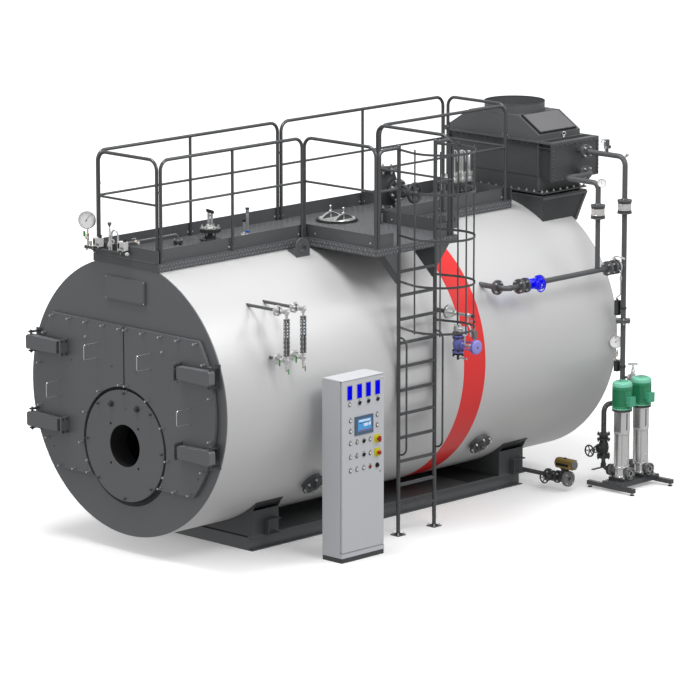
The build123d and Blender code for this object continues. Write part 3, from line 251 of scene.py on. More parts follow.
def finishes():
    """Every finish of the boiler by name."""
    if FINISHES:
        return FINISHES
    hue = bpy.context.scene.boiler_colours
    paint = skin_group("paint skin", {"Paint": (0.1, 0.1, 0.1, 1), "Cloud": 0.12, "Gloss": 0.4,
                                      "Peel": 90.0}, paint_look)
    sheet = skin_group("rolled sheet", {"Metal": (0.8, 0.8, 0.8, 1), "Gloss": 0.3}, sheet_look)
    metal = skin_group("turned metal", {"Metal": (0.7, 0.7, 0.7, 1), "Gloss": 0.22,
                                        "Smear": 0.15}, metal_look)

    def painted(name, colour, gloss=0.42, cloud=0.16, peel=90.0, **more):
        """Painted finish; a number stands for that much of the steelwork's colour."""
        if isinstance(colour, float):
            colour = [colour * c for c in hue.steelwork]
        FINISHES[name] = finish_material(
            name, paint, {"Paint": tuple(colour), "Cloud": cloud, "Gloss": gloss, "Peel": peel},
            **more)

    def bright(name, colour, gloss=0.2, smear=0.2, metallic=1.0):
        FINISHES[name] = finish_material(
            name, metal, {"Metal": tuple(colour), "Gloss": gloss, "Smear": smear},
            metallic=metallic, bump=0.04, depth=0.0004)

    for name, colour, gloss, cloud in (
            # front_painted_light is the steelwork paint made 1.55 times lighter: painted light on
            # the front end
            ("steelwork_paint", hue.steelwork, 0.4, 0.14), ("front_painted_light", 1.55, 0.42, 0.12),
            # casing_painted_shade is the steelwork paint darkened to 0.68: painted shade on the
            # economizer
            ("casing_painted_shade", 0.68, 0.42, 0.14), ("dark_steelwork", 0.62, 0.46, 0.2),
            ("tread_paint", 1.4, 0.4, 0.2), ("fold_paint", 2.6, 0.34, 0.2),
            # economizer_shade is the steelwork paint at 0.4: painted shade on the economizer's
            # support and its recess
            ("plate_paint", 1.06, 0.34, 0.08), ("economizer_shade", 0.4, 0.5, 0.2),
            ("gauge_body", (0.17, 0.17, 0.175), 0.4, 0.15),
            ("drain_valve_paint", hue.drain_valve, 0.33, 0.2),
            # drain_disc_painted_light is the valve's violet made lighter for the disc: painted
            # light
            ("drain_disc_painted_light", (0.3, 0.29, 0.72), 0.33, 0.1),
            # rubber colours rubber parts, and the black rings of painted shade round the burner
            # plate and the manhole lid
            # soot colours black parts; in the burner plate's holes, the economizer's hatch border
            # and slot, and the sheet under the shell it is painted shade
            ("rubber", (0.012, 0.012, 0.013), 0.6, 0.3), ("soot", (0.007, 0.007, 0.007), 0.85, 0.3),
            ("white_plastic", (0.72, 0.72, 0.72), 0.35, 0.04),
            ("grey_plastic", (0.22, 0.23, 0.25), 0.4, 0.05),
            ("blue_plastic", (0.03, 0.13, 0.6), 0.35, 0.05),
            ("green_plastic", (0.01, 0.3, 0.03), 0.35, 0.08),
            ("red_plastic", (0.36, 0.008, 0.008), 0.4, 0.05),
            ("yellow_plastic", (0.7, 0.62, 0.0), 0.4, 0.05),
            ("hatch_sheet", (0.15, 0.15, 0.155), 0.5, 0.3),
            ("screen_frame", (0.075, 0.12, 0.2), 0.45, 0.06),
            ("pale_green", (0.35, 0.6, 0.4), 0.3, 0.05)):
        painted(name, colour, gloss, cloud)
    painted("motor_box_paint", (0.07, 0.4, 0.24), 0.3, 0.1, coat=0.2)
    painted("rail_paint", 0.66, 0.26, 0.1, coat=0.25)
    painted("cast_paint", (0.042, 0.044, 0.046), 0.42, 0.3, 60.0, bump=0.35)
    painted("band_paint", hue.band, 0.34, 0.08, coat=0.1)
    painted("cabinet_paint", hue.cabinet, 0.46, 0.05, 260.0)
    # The feed valve's blue paint glows though the valve is no lamp: painted light.
    painted("feed_valve_paint_glow", hue.feed_valve, 0.3, 0.2, glow=((0.0, 0.0, 1.0), 0.25))
    painted("motor_paint", hue.motor, 0.3, 0.14, coat=0.2)
    painted("motor_cap_paint", (0.2, 0.62, 0.44), 0.32, 0.1, coat=0.2)
    painted("display_blue", (0.0, 0.0, 0.3), 0.8, 0.05, specular=0.05,
            glow=((0.0, 0.0, 1.0), 0.55))
    painted("screen_blue", (0.04, 0.22, 0.5), 0.2, 0.5, 14.0, glow=((0.1, 0.4, 0.8), 0.25))
    # screen_pale glows: on the touch screen it is the screen's own light; on the level gauges'
    # glass and the drain valve's box it is painted light.
    painted("screen_pale", (0.55, 0.66, 0.76), 0.25, 0.1, glow=((0.6, 0.75, 0.9), 0.2))
    # The dial face glows though it is no lamp: painted light.
    painted("dial_face_glow", (0.86, 0.86, 0.87), 0.4, 0.03, glow=((1.0, 1.0, 1.0), 0.12))
    FINISHES["cladding_sheet"] = finish_material(
        "cladding_sheet", sheet, {"Metal": tuple(hue.cladding), "Gloss": 0.40},
        metallic=0.22, bump=0.7, depth=0.03)
    bright("bright_steel", (0.7, 0.7, 0.695), 0.3, 0.06, 0.8)
    bright("satin_steel", (0.62, 0.62, 0.61), 0.38, 0.08, 0.4)
    bright("pump_steel", (0.8, 0.8, 0.795), 0.24, 0.03, 0.85)
    bright("zinc_bolt", (0.7, 0.7, 0.69), 0.3, 0.1, 0.8)
    bright("dark_steel", (0.16, 0.16, 0.165), 0.5, 0.5, 0.6)
    bright("brass", (0.7, 0.5, 0.2), 0.25, 0.2)
    bright("drive_gold", hue.drive, 0.36, 0.25, 0.75)
    return FINISHES


def mm(*values):
    """Pairs of metres from a row of millimetres, as for a profile."""
    return [(a / 1000, b / 1000) for a, b in zip(values[::2], values[1::2])]


def across(direction, hint=UP):
    """Two unit vectors square to a direction and to each other."""
    run = Vector(direction).normalized()
    side = Vector(hint)
    if abs(run.dot(side.normalized())) > 0.95:
        side = Vector(BACK) if abs(run.y) < 0.9 else Vector(RIGHT)
    side = (side - run * run.dot(side)).normalized()
    return side, run.cross(side)


def circle(centre, axis, radius, count, start=0.0):
    """Points round an axis."""
    x, y = across(axis)
    turns = [TURN * (k + start) / count for k in range(count)]
    return [Vector(centre) + (x * math.cos(a) + y * math.sin(a)) * radius for a in turns]


def around(x, y, radius, count, start=0.5):
    """Places round a point, in two directions."""
    turns = [TURN * (k + start) / count for k in range(count)]
    return [(x + radius * math.cos(a), y + radius * math.sin(a)) for a in turns]


def rounded_path(points, bend, steps=7):
    """Points of a run whose corners are arcs of the given radius."""
    points = [Vector(p) for p in points]
    path = [points[0]]
    for before, corner, after in zip(points, points[1:], points[2:]):
        u, v = (corner - before).normalized(), (after - corner).normalized()
        half = u.angle(v) / 2
        if half < 0.02 or bend <= 0:
            path.append(corner)
            continue
        centre = corner + (v - u).normalized() * (bend / math.cos(half))
        start = corner - u * (bend * math.tan(half)) - centre
        normal = start.cross(corner + v * (bend * math.tan(half)) - centre).normalized()
        side = normal.cross(start)
        for k in range(steps + 1):
            a = 2 * half * k / steps
            path.append(centre + start * math.cos(a) + side * math.sin(a))
    return path + points[-1:]


def place_piece(name, mesh, body):
    """Object of a finished mesh that rides a body."""
    piece = bpy.data.objects.new(name, mesh)
    bpy.context.scene.collection.objects.link(piece)
    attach(piece, body)
    return piece


class Piece:
    """A mesh under construction, made of closed forms with their own finishes."""

    def __init__(self, *names):
        self.mesh = bmesh.new()
        self.names = list(names)

    def finish_index(self, name):
        if name is None:
            return 0
        if name not in self.names:
            self.names.append(name)
        return self.names.index(name)

    def loft(self, rings, finish=None, closed=False):
        """Skin over rings of points; open ends are capped."""
        rows = [[self.mesh.verts.new(p) for p in ring] for ring in rings]
        pairs = list(zip(rows, rows[1:]))
        if closed:
            pairs.append((rows[-1], rows[0]))
        made = []
        for low, high in pairs:
            for k in range(len(low)):
                j = (k + 1) % len(low)
                made.append(self.mesh.faces.new((low[k], low[j], high[j], high[k])))
        if not closed:
            made.append(self.mesh.faces.new(rows[0][::-1]))
            made.append(self.mesh.faces.new(rows[-1]))
        for face in made:
            face.material_index = self.finish_index(finish)
        return made

    def turned(self, origin, axis, profile, sides=24, finish=None, closed=False):
        """Form of revolution; profile is (distance along, radius)."""
        run = Vector(axis).normalized()
        spokes = circle((0, 0, 0), run, 1.0, sides)
        rings = [[Vector(origin) + run * along + spoke * max(radius, 1e-5) for spoke in spokes]
                 for along, radius in profile]
        return self.loft(rings, finish, closed)

    def rod(self, a, b, r, sides=24, finish=None, edge=0.0, r_end=None):
        """Round bar with chamfered ends, straight or tapering."""
        run = Vector(b) - Vector(a)
        far = r if r_end is None else r_end
        length = run.length
        if edge > 0:
            profile = [(0, r - edge), (edge, r), (length - edge, far), (length, far - edge)]
        else:
            profile = [(0, r), (length, far)]
        return self.turned(a, run, profile, sides, finish)

    def upright(self, x, y, low, high, *form, **more):
        """Round bar that stands between two heights."""
        return self.rod((x, y, low), (x, y, high), *form, **more)

    def level(self, near, far, y, z, *form, **more):
        """Round bar that lies between two places along X."""
        return self.rod((near, y, z), (far, y, z), *form, **more)

    def ring(self, centre, axis, outer, inner, thick, sides=32, finish=None, edge=0.0):
        """Flat ring round an axis, centred along it."""
        h = thick / 2
        profile = [(-h, inner), (-h, outer - edge), (-h + edge, outer), (h - edge, outer),
                   (h, outer - edge), (h, inner)]
        return self.turned(centre, axis, profile, sides, finish, closed=True)

    def hoop(self, centre, axis, radius, thick, sides=40, round_sides=10, finish=None):
        """Round-section ring."""
        turns = [TURN * k / round_sides for k in range(round_sides)]
        profile = [(thick * math.sin(a), radius + thick * math.cos(a)) for a in turns]
        return self.turned(centre, axis, profile, sides, finish, closed=True)

    def tube(self, points, r, bend=0.0, sides=12, finish=None, steps=7):
        """Round tube along a run with rounded corners."""
        path = rounded_path(points, bend, steps)
        side, _ = across((path[1] - path[0]).normalized())
        turns = [TURN * n / sides for n in range(sides)]
        rings = []
        for before, point, after in zip(path[:1] + path, path, path[1:] + path[-1:]):
            tangent = (after - before).normalized()
            side = (side - tangent * tangent.dot(side)).normalized()
            other = tangent.cross(side)
            rings.append([point + side * (r * math.cos(a)) + other * (r * math.sin(a))
                          for a in turns])
        return self.loft(rings, finish)

    def strap(self, points, up, wide, thick, finish=None):
        """Flat bar along a run; up is the direction of its width."""
        points = [Vector(p) for p in points]
        rise = Vector(up).normalized() * wide / 2
        rings = []
        for before, point, after in zip(points[:1] + points, points, points[1:] + points[-1:]):
            out = (after - before).cross(rise).normalized() * thick / 2
            rings.append([point + rise + out, point + rise - out, point - rise - out,
                          point - rise + out])
        return self.loft(rings, finish)

    def prism(self, outline, run, finish=None, edge=0.0, segments=1):
        """Flat outline pushed along a run, with eased edges."""
        outline = [Vector(p) for p in outline]
        faces = self.loft([outline, [p + Vector(run) for p in outline]], finish)
        if edge > 0:
            edges = {e for f in faces for e in f.edges
                     if e.calc_face_angle(0) > math.radians(25)}
            bmesh.ops.bevel(self.mesh, geom=list(edges), offset=edge, segments=segments,
                            profile=0.6, affect="EDGES", clamp_overlap=True,
                            material=self.finish_index(finish))
        return faces

    def plate_with_hole(self, outline, hole, run):
        """Flat plate with one round hole, its two faces filled between the outlines."""
        run = Vector(run)
        caps = []
        for shift in (Vector(), run):
            edges = []
            for loop in (outline, hole):
                verts = [self.mesh.verts.new(Vector(p) + shift) for p in loop]
                caps.append(verts)
                edges += [self.mesh.edges.new((a, b)) for a, b in zip(verts, verts[1:] + verts[:1])]
            bmesh.ops.triangle_fill(self.mesh, edges=edges, use_beauty=True, normal=run)
        for low, high in ((caps[0], caps[2]), (caps[1], caps[3])):
            for k in range(len(low)):
                j = (k + 1) % len(low)
                self.mesh.faces.new((low[k], low[j], high[j], high[k]))

    def box(self, low, high, finish=None, edge=0.002, segments=1):
        """Block between two corners with eased edges."""
        (x0, y0, z0), (x1, y1, z1) = low, high
        outline = [(x0, y0, z0), (x1, y0, z0), (x1, y1, z0), (x0, y1, z0)]
        return self.prism(outline, (0, 0, z1 - z0), finish, edge, segments)

    def bar(self, x0, x1, y, half, z0, z1, *form, **more):
        """Block that reaches equally far to both sides of a place along Y."""
        return self.box((x0, y - half, z0), (x1, y + half, z1), *form, **more)

    def flange(self, centre, axis, r, thick, finish=None):
        """Pipe flange with turned edges, centred on its plane."""
        h, e = thick / 2, min(0.003, 0.2 * thick)
        profile = [(-h, 0.012), (-h, r - e), (-h + e, r), (h - e, r), (h, r - e), (h, 1e-4)]
        return self.turned(centre, axis, profile, 36, finish)

    def made(self, name, slot, *nodes, body="boiler"):
        """Turns the work into an object that rides a body and may stand for solids."""
        bmesh.ops.recalc_face_normals(self.mesh, faces=self.mesh.faces)
        for face in self.mesh.faces:
            face.smooth = True
        for edge in self.mesh.edges:
            edge.smooth = edge.calc_face_angle(math.pi) < SHARP
        data = bpy.data.meshes.new(name)
        self.mesh.to_mesh(data)
        self.mesh.free()
        for finish in self.names:
            data.materials.append(finishes()[finish])
        piece = place_piece(name, data, body)
        if nodes:
            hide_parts(*nodes)


def part_tree(name, inputs, part):
    """Geometry tree that puts a part on every point, aimed and sized by its attributes."""
    tree, given, out = new_group("GeometryNodeTree", name,
                                 {"Geometry": None, **inputs, "Finish": None}, ("Geometry",))

    def named(label, kind="FLOAT_VECTOR"):
        return add(tree, "GeometryNodeInputNamedAttribute", {"Name": label},
                   data_type=kind).outputs["Attribute"]

    lift = add(tree, "FunctionNodeAlignRotationToVector", {"Vector": named("aim")}, axis="Z")
    turn = add(tree, "FunctionNodeAlignRotationToVector", {
        "Rotation": lift.outputs[0], "Vector": named("along")}, axis="X", pivot_axis="Z")
    spread = add(tree, "GeometryNodeInstanceOnPoints", {
        "Points": given["Geometry"], "Instance": part(tree, given), "Rotation": turn.outputs[0],
        "Scale": named("size", "FLOAT")})
    real = add(tree, "GeometryNodeRealizeInstances", {"Geometry": spread.outputs[0]})
    coat = add(tree, "GeometryNodeSetMaterial", {"Geometry": real.outputs[0],
                                                 "Material": given["Finish"]})
    tree.links.new(coat.outputs[0], out["Geometry"])
    return tree


def drum(tree, given, sides, radius, depth, low):
    """Cylinder on a level; a size is a number or an input's name."""
    radius, depth = (given[v] if isinstance(v, str) else v for v in (radius, depth))
    half = add(tree, "ShaderNodeMath", {0: depth, 1: 0.5, 2: low}, operation="MULTIPLY_ADD")
    up = add(tree, "ShaderNodeCombineXYZ", {"Z": half.outputs[0]})
    mesh = add(tree, "GeometryNodeMeshCylinder", {"Vertices": sides, "Radius": radius,
                                                  "Depth": depth})
    return add(tree, "GeometryNodeTransform", {"Geometry": mesh.outputs["Mesh"],
                                               "Translation": up.outputs[0]}).outputs[0]


def hex_bolt(tree, given):
    """Washer, hexagon nut and the end of its stud."""
    join = add(tree, "GeometryNodeJoinGeometry")
    for sides, radius, depth, low in ((14, "Washer radius", 0.003, 0.0),
                                      (6, "Nut radius", "Nut height", 0.0025),
                                      (8, "Stud radius", "Stud height", 0.003)):
        tree.links.new(drum(tree, given, sides, radius, depth, low), join.inputs[0])
    return join.outputs[0]


def sized(tree, given, wide):
    """The three sizes of a flat part as one vector."""
    return add(tree, "ShaderNodeCombineXYZ", {"X": given["Length"], "Y": given[wide],
                                              "Z": given["Height"]}).outputs[0]


def tread_bar(tree, given):
    """Raised tread bar: a flat bar with narrowed ends."""
    cone = add(tree, "GeometryNodeMeshCone", {"Vertices": 6, "Radius Top": 0.34,
                                              "Radius Bottom": 0.5, "Depth": 1.0})
    return add(tree, "GeometryNodeTransform", {
        "Geometry": cone.outputs["Mesh"], "Scale": sized(tree, given, "Width")}).outputs[0]


def cooling_fin(tree, given):
    """Straight fin standing on its point."""
    return add(tree, "GeometryNodeMeshCube",
               {"Size": sized(tree, given, "Thickness")}).outputs["Mesh"]


def tube_end(tree, given):
    """Short open tube end."""
    path = add(tree, "GeometryNodeCurvePrimitiveCircle", {"Resolution": 14,
                                                          "Radius": given["Radius"]})
    section = add(tree, "GeometryNodeCurvePrimitiveQuadrilateral", {
        "Width": given["Wall"], "Height": given["Height"]})
    return add(tree, "GeometryNodeCurveToMesh", {
        "Curve": path.outputs[0], "Profile Curve": section.outputs[0]}).outputs["Mesh"]


PARTS = {
    "bolt": (hex_bolt, {"Nut radius": 0.012, "Nut height": 0.01, "Washer radius": 0.016,
                        "Stud radius": 0.007, "Stud height": 0.018}),
    "bar": (tread_bar, {"Length": 0.03, "Width": 0.008, "Height": 0.002}),
    "fin": (cooling_fin, {"Length": 0.2, "Thickness": 0.004, "Height": 0.014}),
    "cup": (tube_end, {"Radius": 0.026, "Wall": 0.004, "Height": 0.006}),
}
TREES = {}


def repeat(kind, name, spots, sizes, finish, body="boiler"):
    """Repeats a small part of the given sizes in mm; spots are (point, aim, along, size)."""
    part, inputs = PARTS[kind]
    if kind not in TREES:
        TREES[kind] = part_tree(kind, inputs, part)
    tree = TREES[kind]
    data = bpy.data.meshes.new(name + "_points")
    data.from_pydata([tuple(s[0]) for s in spots], [], [])
    for label, place in (("aim", 1), ("along", 2)):
        attribute = data.attributes.new(label, "FLOAT_VECTOR", "POINT")
        attribute.data.foreach_set("vector", [c for s in spots for c in s[place]])
    data.attributes.new("size", "FLOAT", "POINT").data.foreach_set("value", [s[3] for s in spots])
    holder = bpy.data.objects.new(name + "_points", data)
    bpy.context.scene.collection.objects.link(holder)
    modifier = holder.modifiers.new(kind, "NODES")
    modifier.node_group = tree
    sockets = {item.name: item.identifier for item in tree.interface.items_tree
               if item.in_out == "INPUT"}
    modifier[sockets["Finish"]] = finishes()[finish]
    for label, value in zip(inputs, sizes):
        modifier[sockets[label]] = value / 1000
    graph = bpy.context.evaluated_depsgraph_get()
    made = bpy.data.meshes.new_from_object(holder.evaluated_get(graph), depsgraph=graph)
    made.name = name
    bpy.data.objects.remove(holder)
    for label in ("aim", "along", "size"):
        if label in made.attributes:
            made.attributes.remove(made.attributes[label])
    place_piece(name, made, body)


def spot(point, aim, size=1.0, along=None):
    """One place for a repeated part."""
    return Vector(point), Vector(aim).normalized(), Vector(along or across(aim)[0]), size


def bolt_circle(centre, axis, radius, count, size=1.0, start=0.5):
    """Spots round a flange."""
    return [spot(p, axis, size) for p in circle(centre, axis, radius, count, start)]


def both_faces(centre, axis, half, radius, count):
    """Bolts through a pair of flanges, seen on both outer faces."""
    centre, run = Vector(centre), Vector(axis).normalized()
    return (bolt_circle(centre + run * half, run, radius, count)
            + bolt_circle(centre - run * half, -run, radius, count))


def bolts(name, spots, sizes, finish="zinc_bolt", body="boiler"):
    """Hexagon bolts: nut radius and height, washer radius, stud radius and height, in mm."""
    repeat("bolt", name, spots, sizes, finish, body)


NODE_FINISH = {"silver_cladding": "cladding_sheet", "bare_steel": "dark_steel",
    "anthracite_paint": "steelwork_paint", "plate_steel": "plate_paint",
    "fitting_steel": "bright_steel", "cast_fitting": "cast_paint",
    "violet_paint": "drain_valve_paint", "blue_paint": "feed_valve_paint_glow",
    "green_paint": "motor_paint", "gold_anodised": "drive_gold", "cabinet_grey": "cabinet_paint"}
# The saddles and the belly plate take the darker steelwork as painted shade under the shell; the
# economizer's support, casing and covers take painted shade, and the front plate painted light.
OWN_FINISH = {"front_saddle": "dark_steelwork", "rear_saddle": "dark_steelwork",
    "belly_plate": "dark_steelwork", "economizer_support": "economizer_shade",
    "economizer_casing": "casing_painted_shade", "economizer_covers": "casing_painted_shade",
    "front_plate": "front_painted_light"}


def in_scene(scene, name, data, place=(0, 0, 0), turn=(0, 0, 0)):
    """Object of the stage, placed and turned."""
    thing = bpy.data.objects.new(name, data)
    scene.collection.objects.link(thing)
    thing.location, thing.rotation_euler = place, turn
    return thing


def sky(scene):
    """White studio that is softer near the horizon, and plain white to the camera."""
    scene.world = bpy.data.worlds.new("studio")
    scene.world.use_nodes = True
    tree = scene.world.node_tree
    place = add(tree, "ShaderNodeTexCoord").outputs["Generated"]
    height = add(tree, "ShaderNodeSeparateXYZ", {0: place}).outputs["Z"]
    level = add(tree, "ShaderNodeMapRange", {"From Min": -1.0, "Value": height})
    ramp = add(tree, "ShaderNodeValToRGB", {"Fac": level.outputs["Result"]})
    stops = ramp.color_ramp.elements
    for stop, at, tone in ((stops[0], 0.1, 0.6), (stops[1], 0.9, 1.25),
            (stops.new(0.5), 0.5, 0.95)):
        stop.position, stop.color = at, (tone, tone, tone, 1)
    soft = tree.nodes["Background"]
    tree.links.new(ramp.outputs["Color"], soft.inputs["Color"])
    soft.inputs["Strength"].default_value = 0.62
    white = add(tree, "ShaderNodeBackground", {"Color": (1, 1, 1, 1), "Strength": 1.3})
    seen = add(tree, "ShaderNodeLightPath").outputs["Is Camera Ray"]
    choose = add(tree, "ShaderNodeMixShader", {"Fac": seen, 1: soft.outputs[0],
        2: white.outputs[0]})
    tree.links.new(choose.outputs[0], tree.nodes["World Output"].inputs["Surface"])


def make_stage(scene):
    reach = 400.0
    floor_mesh = bpy.data.meshes.new("studio_floor")
    floor_mesh.from_pydata([(-reach, -reach, 0), (reach, -reach, 0), (reach, reach, 0),
        (-reach, reach, 0)], [], [(0, 1, 2, 3)])
    white = bpy.data.materials.new("studio_white")
    white.use_nodes = True
    tree = white.node_tree
    shader = tree.nodes["Principled BSDF"].inputs
    for label, value in (("Base Color", (0.9, 0.9, 0.9, 1)), ("Roughness", 0.9),
            ("Specular IOR Level", 0), ("Emission Color", (1, 1, 1, 1))):
        shader[label].default_value = value
    place = add(tree, "ShaderNodeTexCoord").outputs["Object"]
    away = add(tree, "ShaderNodeVectorMath", {0: place}, operation="LENGTH").outputs["Value"]
    fade = add(tree, "ShaderNodeMapRange", {"Value": away, "From Min": 2.0, "From Max": 9.0,
        "To Min": 0.16, "To Max": 0.7})
    tree.links.new(fade.outputs["Result"], shader["Emission Strength"])
    floor_mesh.materials.append(white)
    floor = in_scene(scene, "studio_floor", floor_mesh)
    floor.visible_diffuse = floor.visible_glossy = False
    floor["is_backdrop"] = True
    sky(scene)
    for name, place, aim, size, power in (
            ("key", (-1.0, -4.5, 17.0), (0, -0.5, 1.5), 7.0, 1550.0),
            ("side_box", (7.5, -1.9, 8.5), (1.0, -1.9, 2.2), 3.2, 240.0),
            ("rear_fill", (10.0, 6.0, 12.0), (0.5, 1.0, 1.5), 7.0, 420.0)):
        light = bpy.data.lights.new(name, "AREA")
        light.shape, light.size, light.energy = "DISK", size, power
        turn = (Vector(aim) - Vector(place)).to_track_quat("-Z", "Y").to_euler()
        in_scene(scene, name, light, place, turn)
    view = bpy.data.cameras.new("camera")
    view.lens, view.sensor_width, view.clip_start, view.clip_end = 229.42, 36.0, 1.0, 600.0
    turn = (math.radians(78.222), 0, math.radians(44.118))
    scene.camera = in_scene(scene, "camera", view, (33.866, -34.636, 11.85), turn)
    scene.view_settings.view_transform = "Standard"


class BOILER_OT_stage(bpy.types.Operator):
    """Floor, studio light and camera"""
    bl_idname = "boiler.stage"
    bl_label = "Stage"

    def execute(self, context):
        make_stage(context.scene)
        return {"FINISHED"}


class BOILER_OT_solids(bpy.types.Operator):
    """Paints and finishes of the solids that stay"""
    bl_idname = "boiler.solids"
    bl_label = "Solids' finishes"

    def execute(self, context):
        made_of = {part["node"]: part["material_slot"] for part in frame["record"]["subparts"]}
        for name, node in frame["nodes"].items():
            finish = OWN_FINISH.get(name, NODE_FINISH[made_of[name]])
            node.data.materials.clear()
            node.data.materials.append(finishes()[finish])
        # A flat black sheet under the belly plate darkens the floor seen under the shell: painted
        # shade.
        dark_sheet = Piece("soot")
        dark_sheet.box((-0.87, st(4.385), 0.16), (0.87, st(4.868), 0.165), edge=0.001)
        dark_sheet.made("shade_sheet_under_shell", "anthracite_paint")
        return {"FINISHED"}


class BOILER_OT_cladding(bpy.types.Operator):
    """Smooth sheet round the shell with its painted band"""
    bl_idname = "boiler.cladding"
    bl_label = "Cladding"

    def execute(self, context):
        sizes = context.scene.boiler_sizes
        low, high = st(0.015), st(6.185)
        band = st(sizes.band_start)
        sides = 240
        profile = [(low, 1.4), (low, 1.497), (low + 0.003, SHELL_R), (band, SHELL_R),
            (band + sizes.band_width, SHELL_R), (high - 0.003, SHELL_R), (high, 1.497),
            (high, 1.4)]
        piece = Piece("cladding_sheet")
        faces = piece.turned((0, 0, AXIS_Z), BACK, profile, sides, closed=True)
        for face in faces[3 * sides:4 * sides]:
            face.material_index = piece.finish_index("band_paint")
        piece.made("shell_cladding", "silver_cladding", "shell_jacket")
        self.trim()
        return {"FINISHED"}

    def trim(self):
        """Rear edge strip of the sheet."""
        piece = Piece(STEEL)
        piece.ring((0, st(6.186), AXIS_Z), BACK, SHELL_R, 1.47, 0.004, 200)
        piece.made("rear_edge_trim", "silver_cladding")


def make_nozzles():
    piece = Piece(CAST)
    spots = []
    for station, neck, wide, high in TOP_NOZZLES:
        y = st(station)
        piece.upright(0, y, 3.14, TOP_Z + high - 0.012, neck)
        piece.turned((0, y, TOP_Z + high - 0.018), UP, [(0, neck), (0, wide - 0.002),
            (0.002, wide), (0.016, wide), (0.018, wide - 0.002)], 36)
        piece.upright(0, y, TOP_Z - 0.002, TOP_Z + 0.012, neck + 0.012, 32, r_end=neck)
        spots += bolt_circle((0, y, TOP_Z + high - 0.018), DOWN, 0.84 * wide,
            8 if wide > 0.1 else 4, min(1.0, 8 * wide))
    for station in THIN_PROBES:
        piece.upright(0, st(station), 3.14, TOP_Z + 0.03, 0.02, edge=0.002)
    x, y = -0.2, st(0.948)
    piece.upright(x, y, 3.09, 3.222, 0.017)
    piece.flange((x, y, 3.221), UP, 0.052, 0.016)
    y = st(3.183)
    piece.turned((0, y, 3.14), UP, mm(0, 210, 0, 230, 74, 230, 74, 210), 64, closed=True)
    piece.made("top_nozzles", "cast_fitting")
    side = Piece("steelwork_paint")
    for station in LEVEL_STATIONS:
        for z in (LEVEL_HIGH, LEVEL_LOW):
            wall = math.sqrt(1.45 ** 2 - (z - AXIS_Z) ** 2)
            side.level(wall, 1.5, st(station), z, 0.017)
            side.flange((1.506, st(station), z), RIGHT, 0.058, 0.015, STEEL)
    wall = math.sqrt(1.45 ** 2 - (2.358 - AXIS_Z) ** 2)
    side.level(wall, 1.52, st(3.355), 2.358, 0.024)
    side.flange((1.524, st(3.355), 2.358), RIGHT, 0.078, 0.016)
    wall = math.sqrt(1.45 ** 2 - (FEED_Z - AXIS_Z) ** 2)
    side.level(wall, 1.485, st(4.169), FEED_Z, 0.03)
    side.flange((1.491, st(4.169), FEED_Z), RIGHT, 0.0825, 0.018)
    tilt = math.radians(-41.5)
    out = Vector((math.cos(tilt), 0, math.sin(tilt)))
    for station in HAND_HOLES:
        centre = Vector((0, st(station), AXIS_Z))
        side.rod(centre + out * 1.45, centre + out * 1.54, 0.12, 48)
    side.upright(0, st(5.35), 0.242, 0.178, 0.025)
    side.made("side_nozzles", "anthracite_paint")
    lugs = Piece("steelwork_paint")
    for way in (-1, 1):
        for station in (1.985, 4.34):
            x, y, z = way * 0.648, st(station), 3.144
            face = x - 0.012
            outline = [(face, y - 0.102, 3.0), (face, y + 0.102, 3.0)]
            outline += [(face, *place) for place in around(y, z, 0.102, 48, 0)[:25]]
            hole = [(face, *place) for place in around(y, z, 0.046, 32, 0)]
            lugs.plate_with_hole(outline, hole, (0.024, 0, 0))
            lugs.ring((x, y, z), RIGHT, 0.064, 0.046, 0.036, 40, edge=0.002)
            for near in (y - 0.1, y + 0.086):
                lugs.prism([(x - way * 0.01, near, 3.0), (x - way * 0.01, near, 3.135),
                    (x - way * 0.125, near, 3.118), (x - way * 0.125, near, 3.0)], (0, 0.014, 0),
                    edge=0.002)
    lugs.made("lifting_lugs", "anthracite_paint")
    bolts("nozzle_bolts", spots, (13, 11, 16, 8, 20), "dark_steel")


class BOILER_OT_nozzles(bpy.types.Operator):
    """Necks, flanges and lifting lugs on the shell"""
    bl_idname = "boiler.nozzles"
    bl_label = "Nozzles and lugs"

    def execute(self, context):
        make_nozzles()
        return {"FINISHED"}


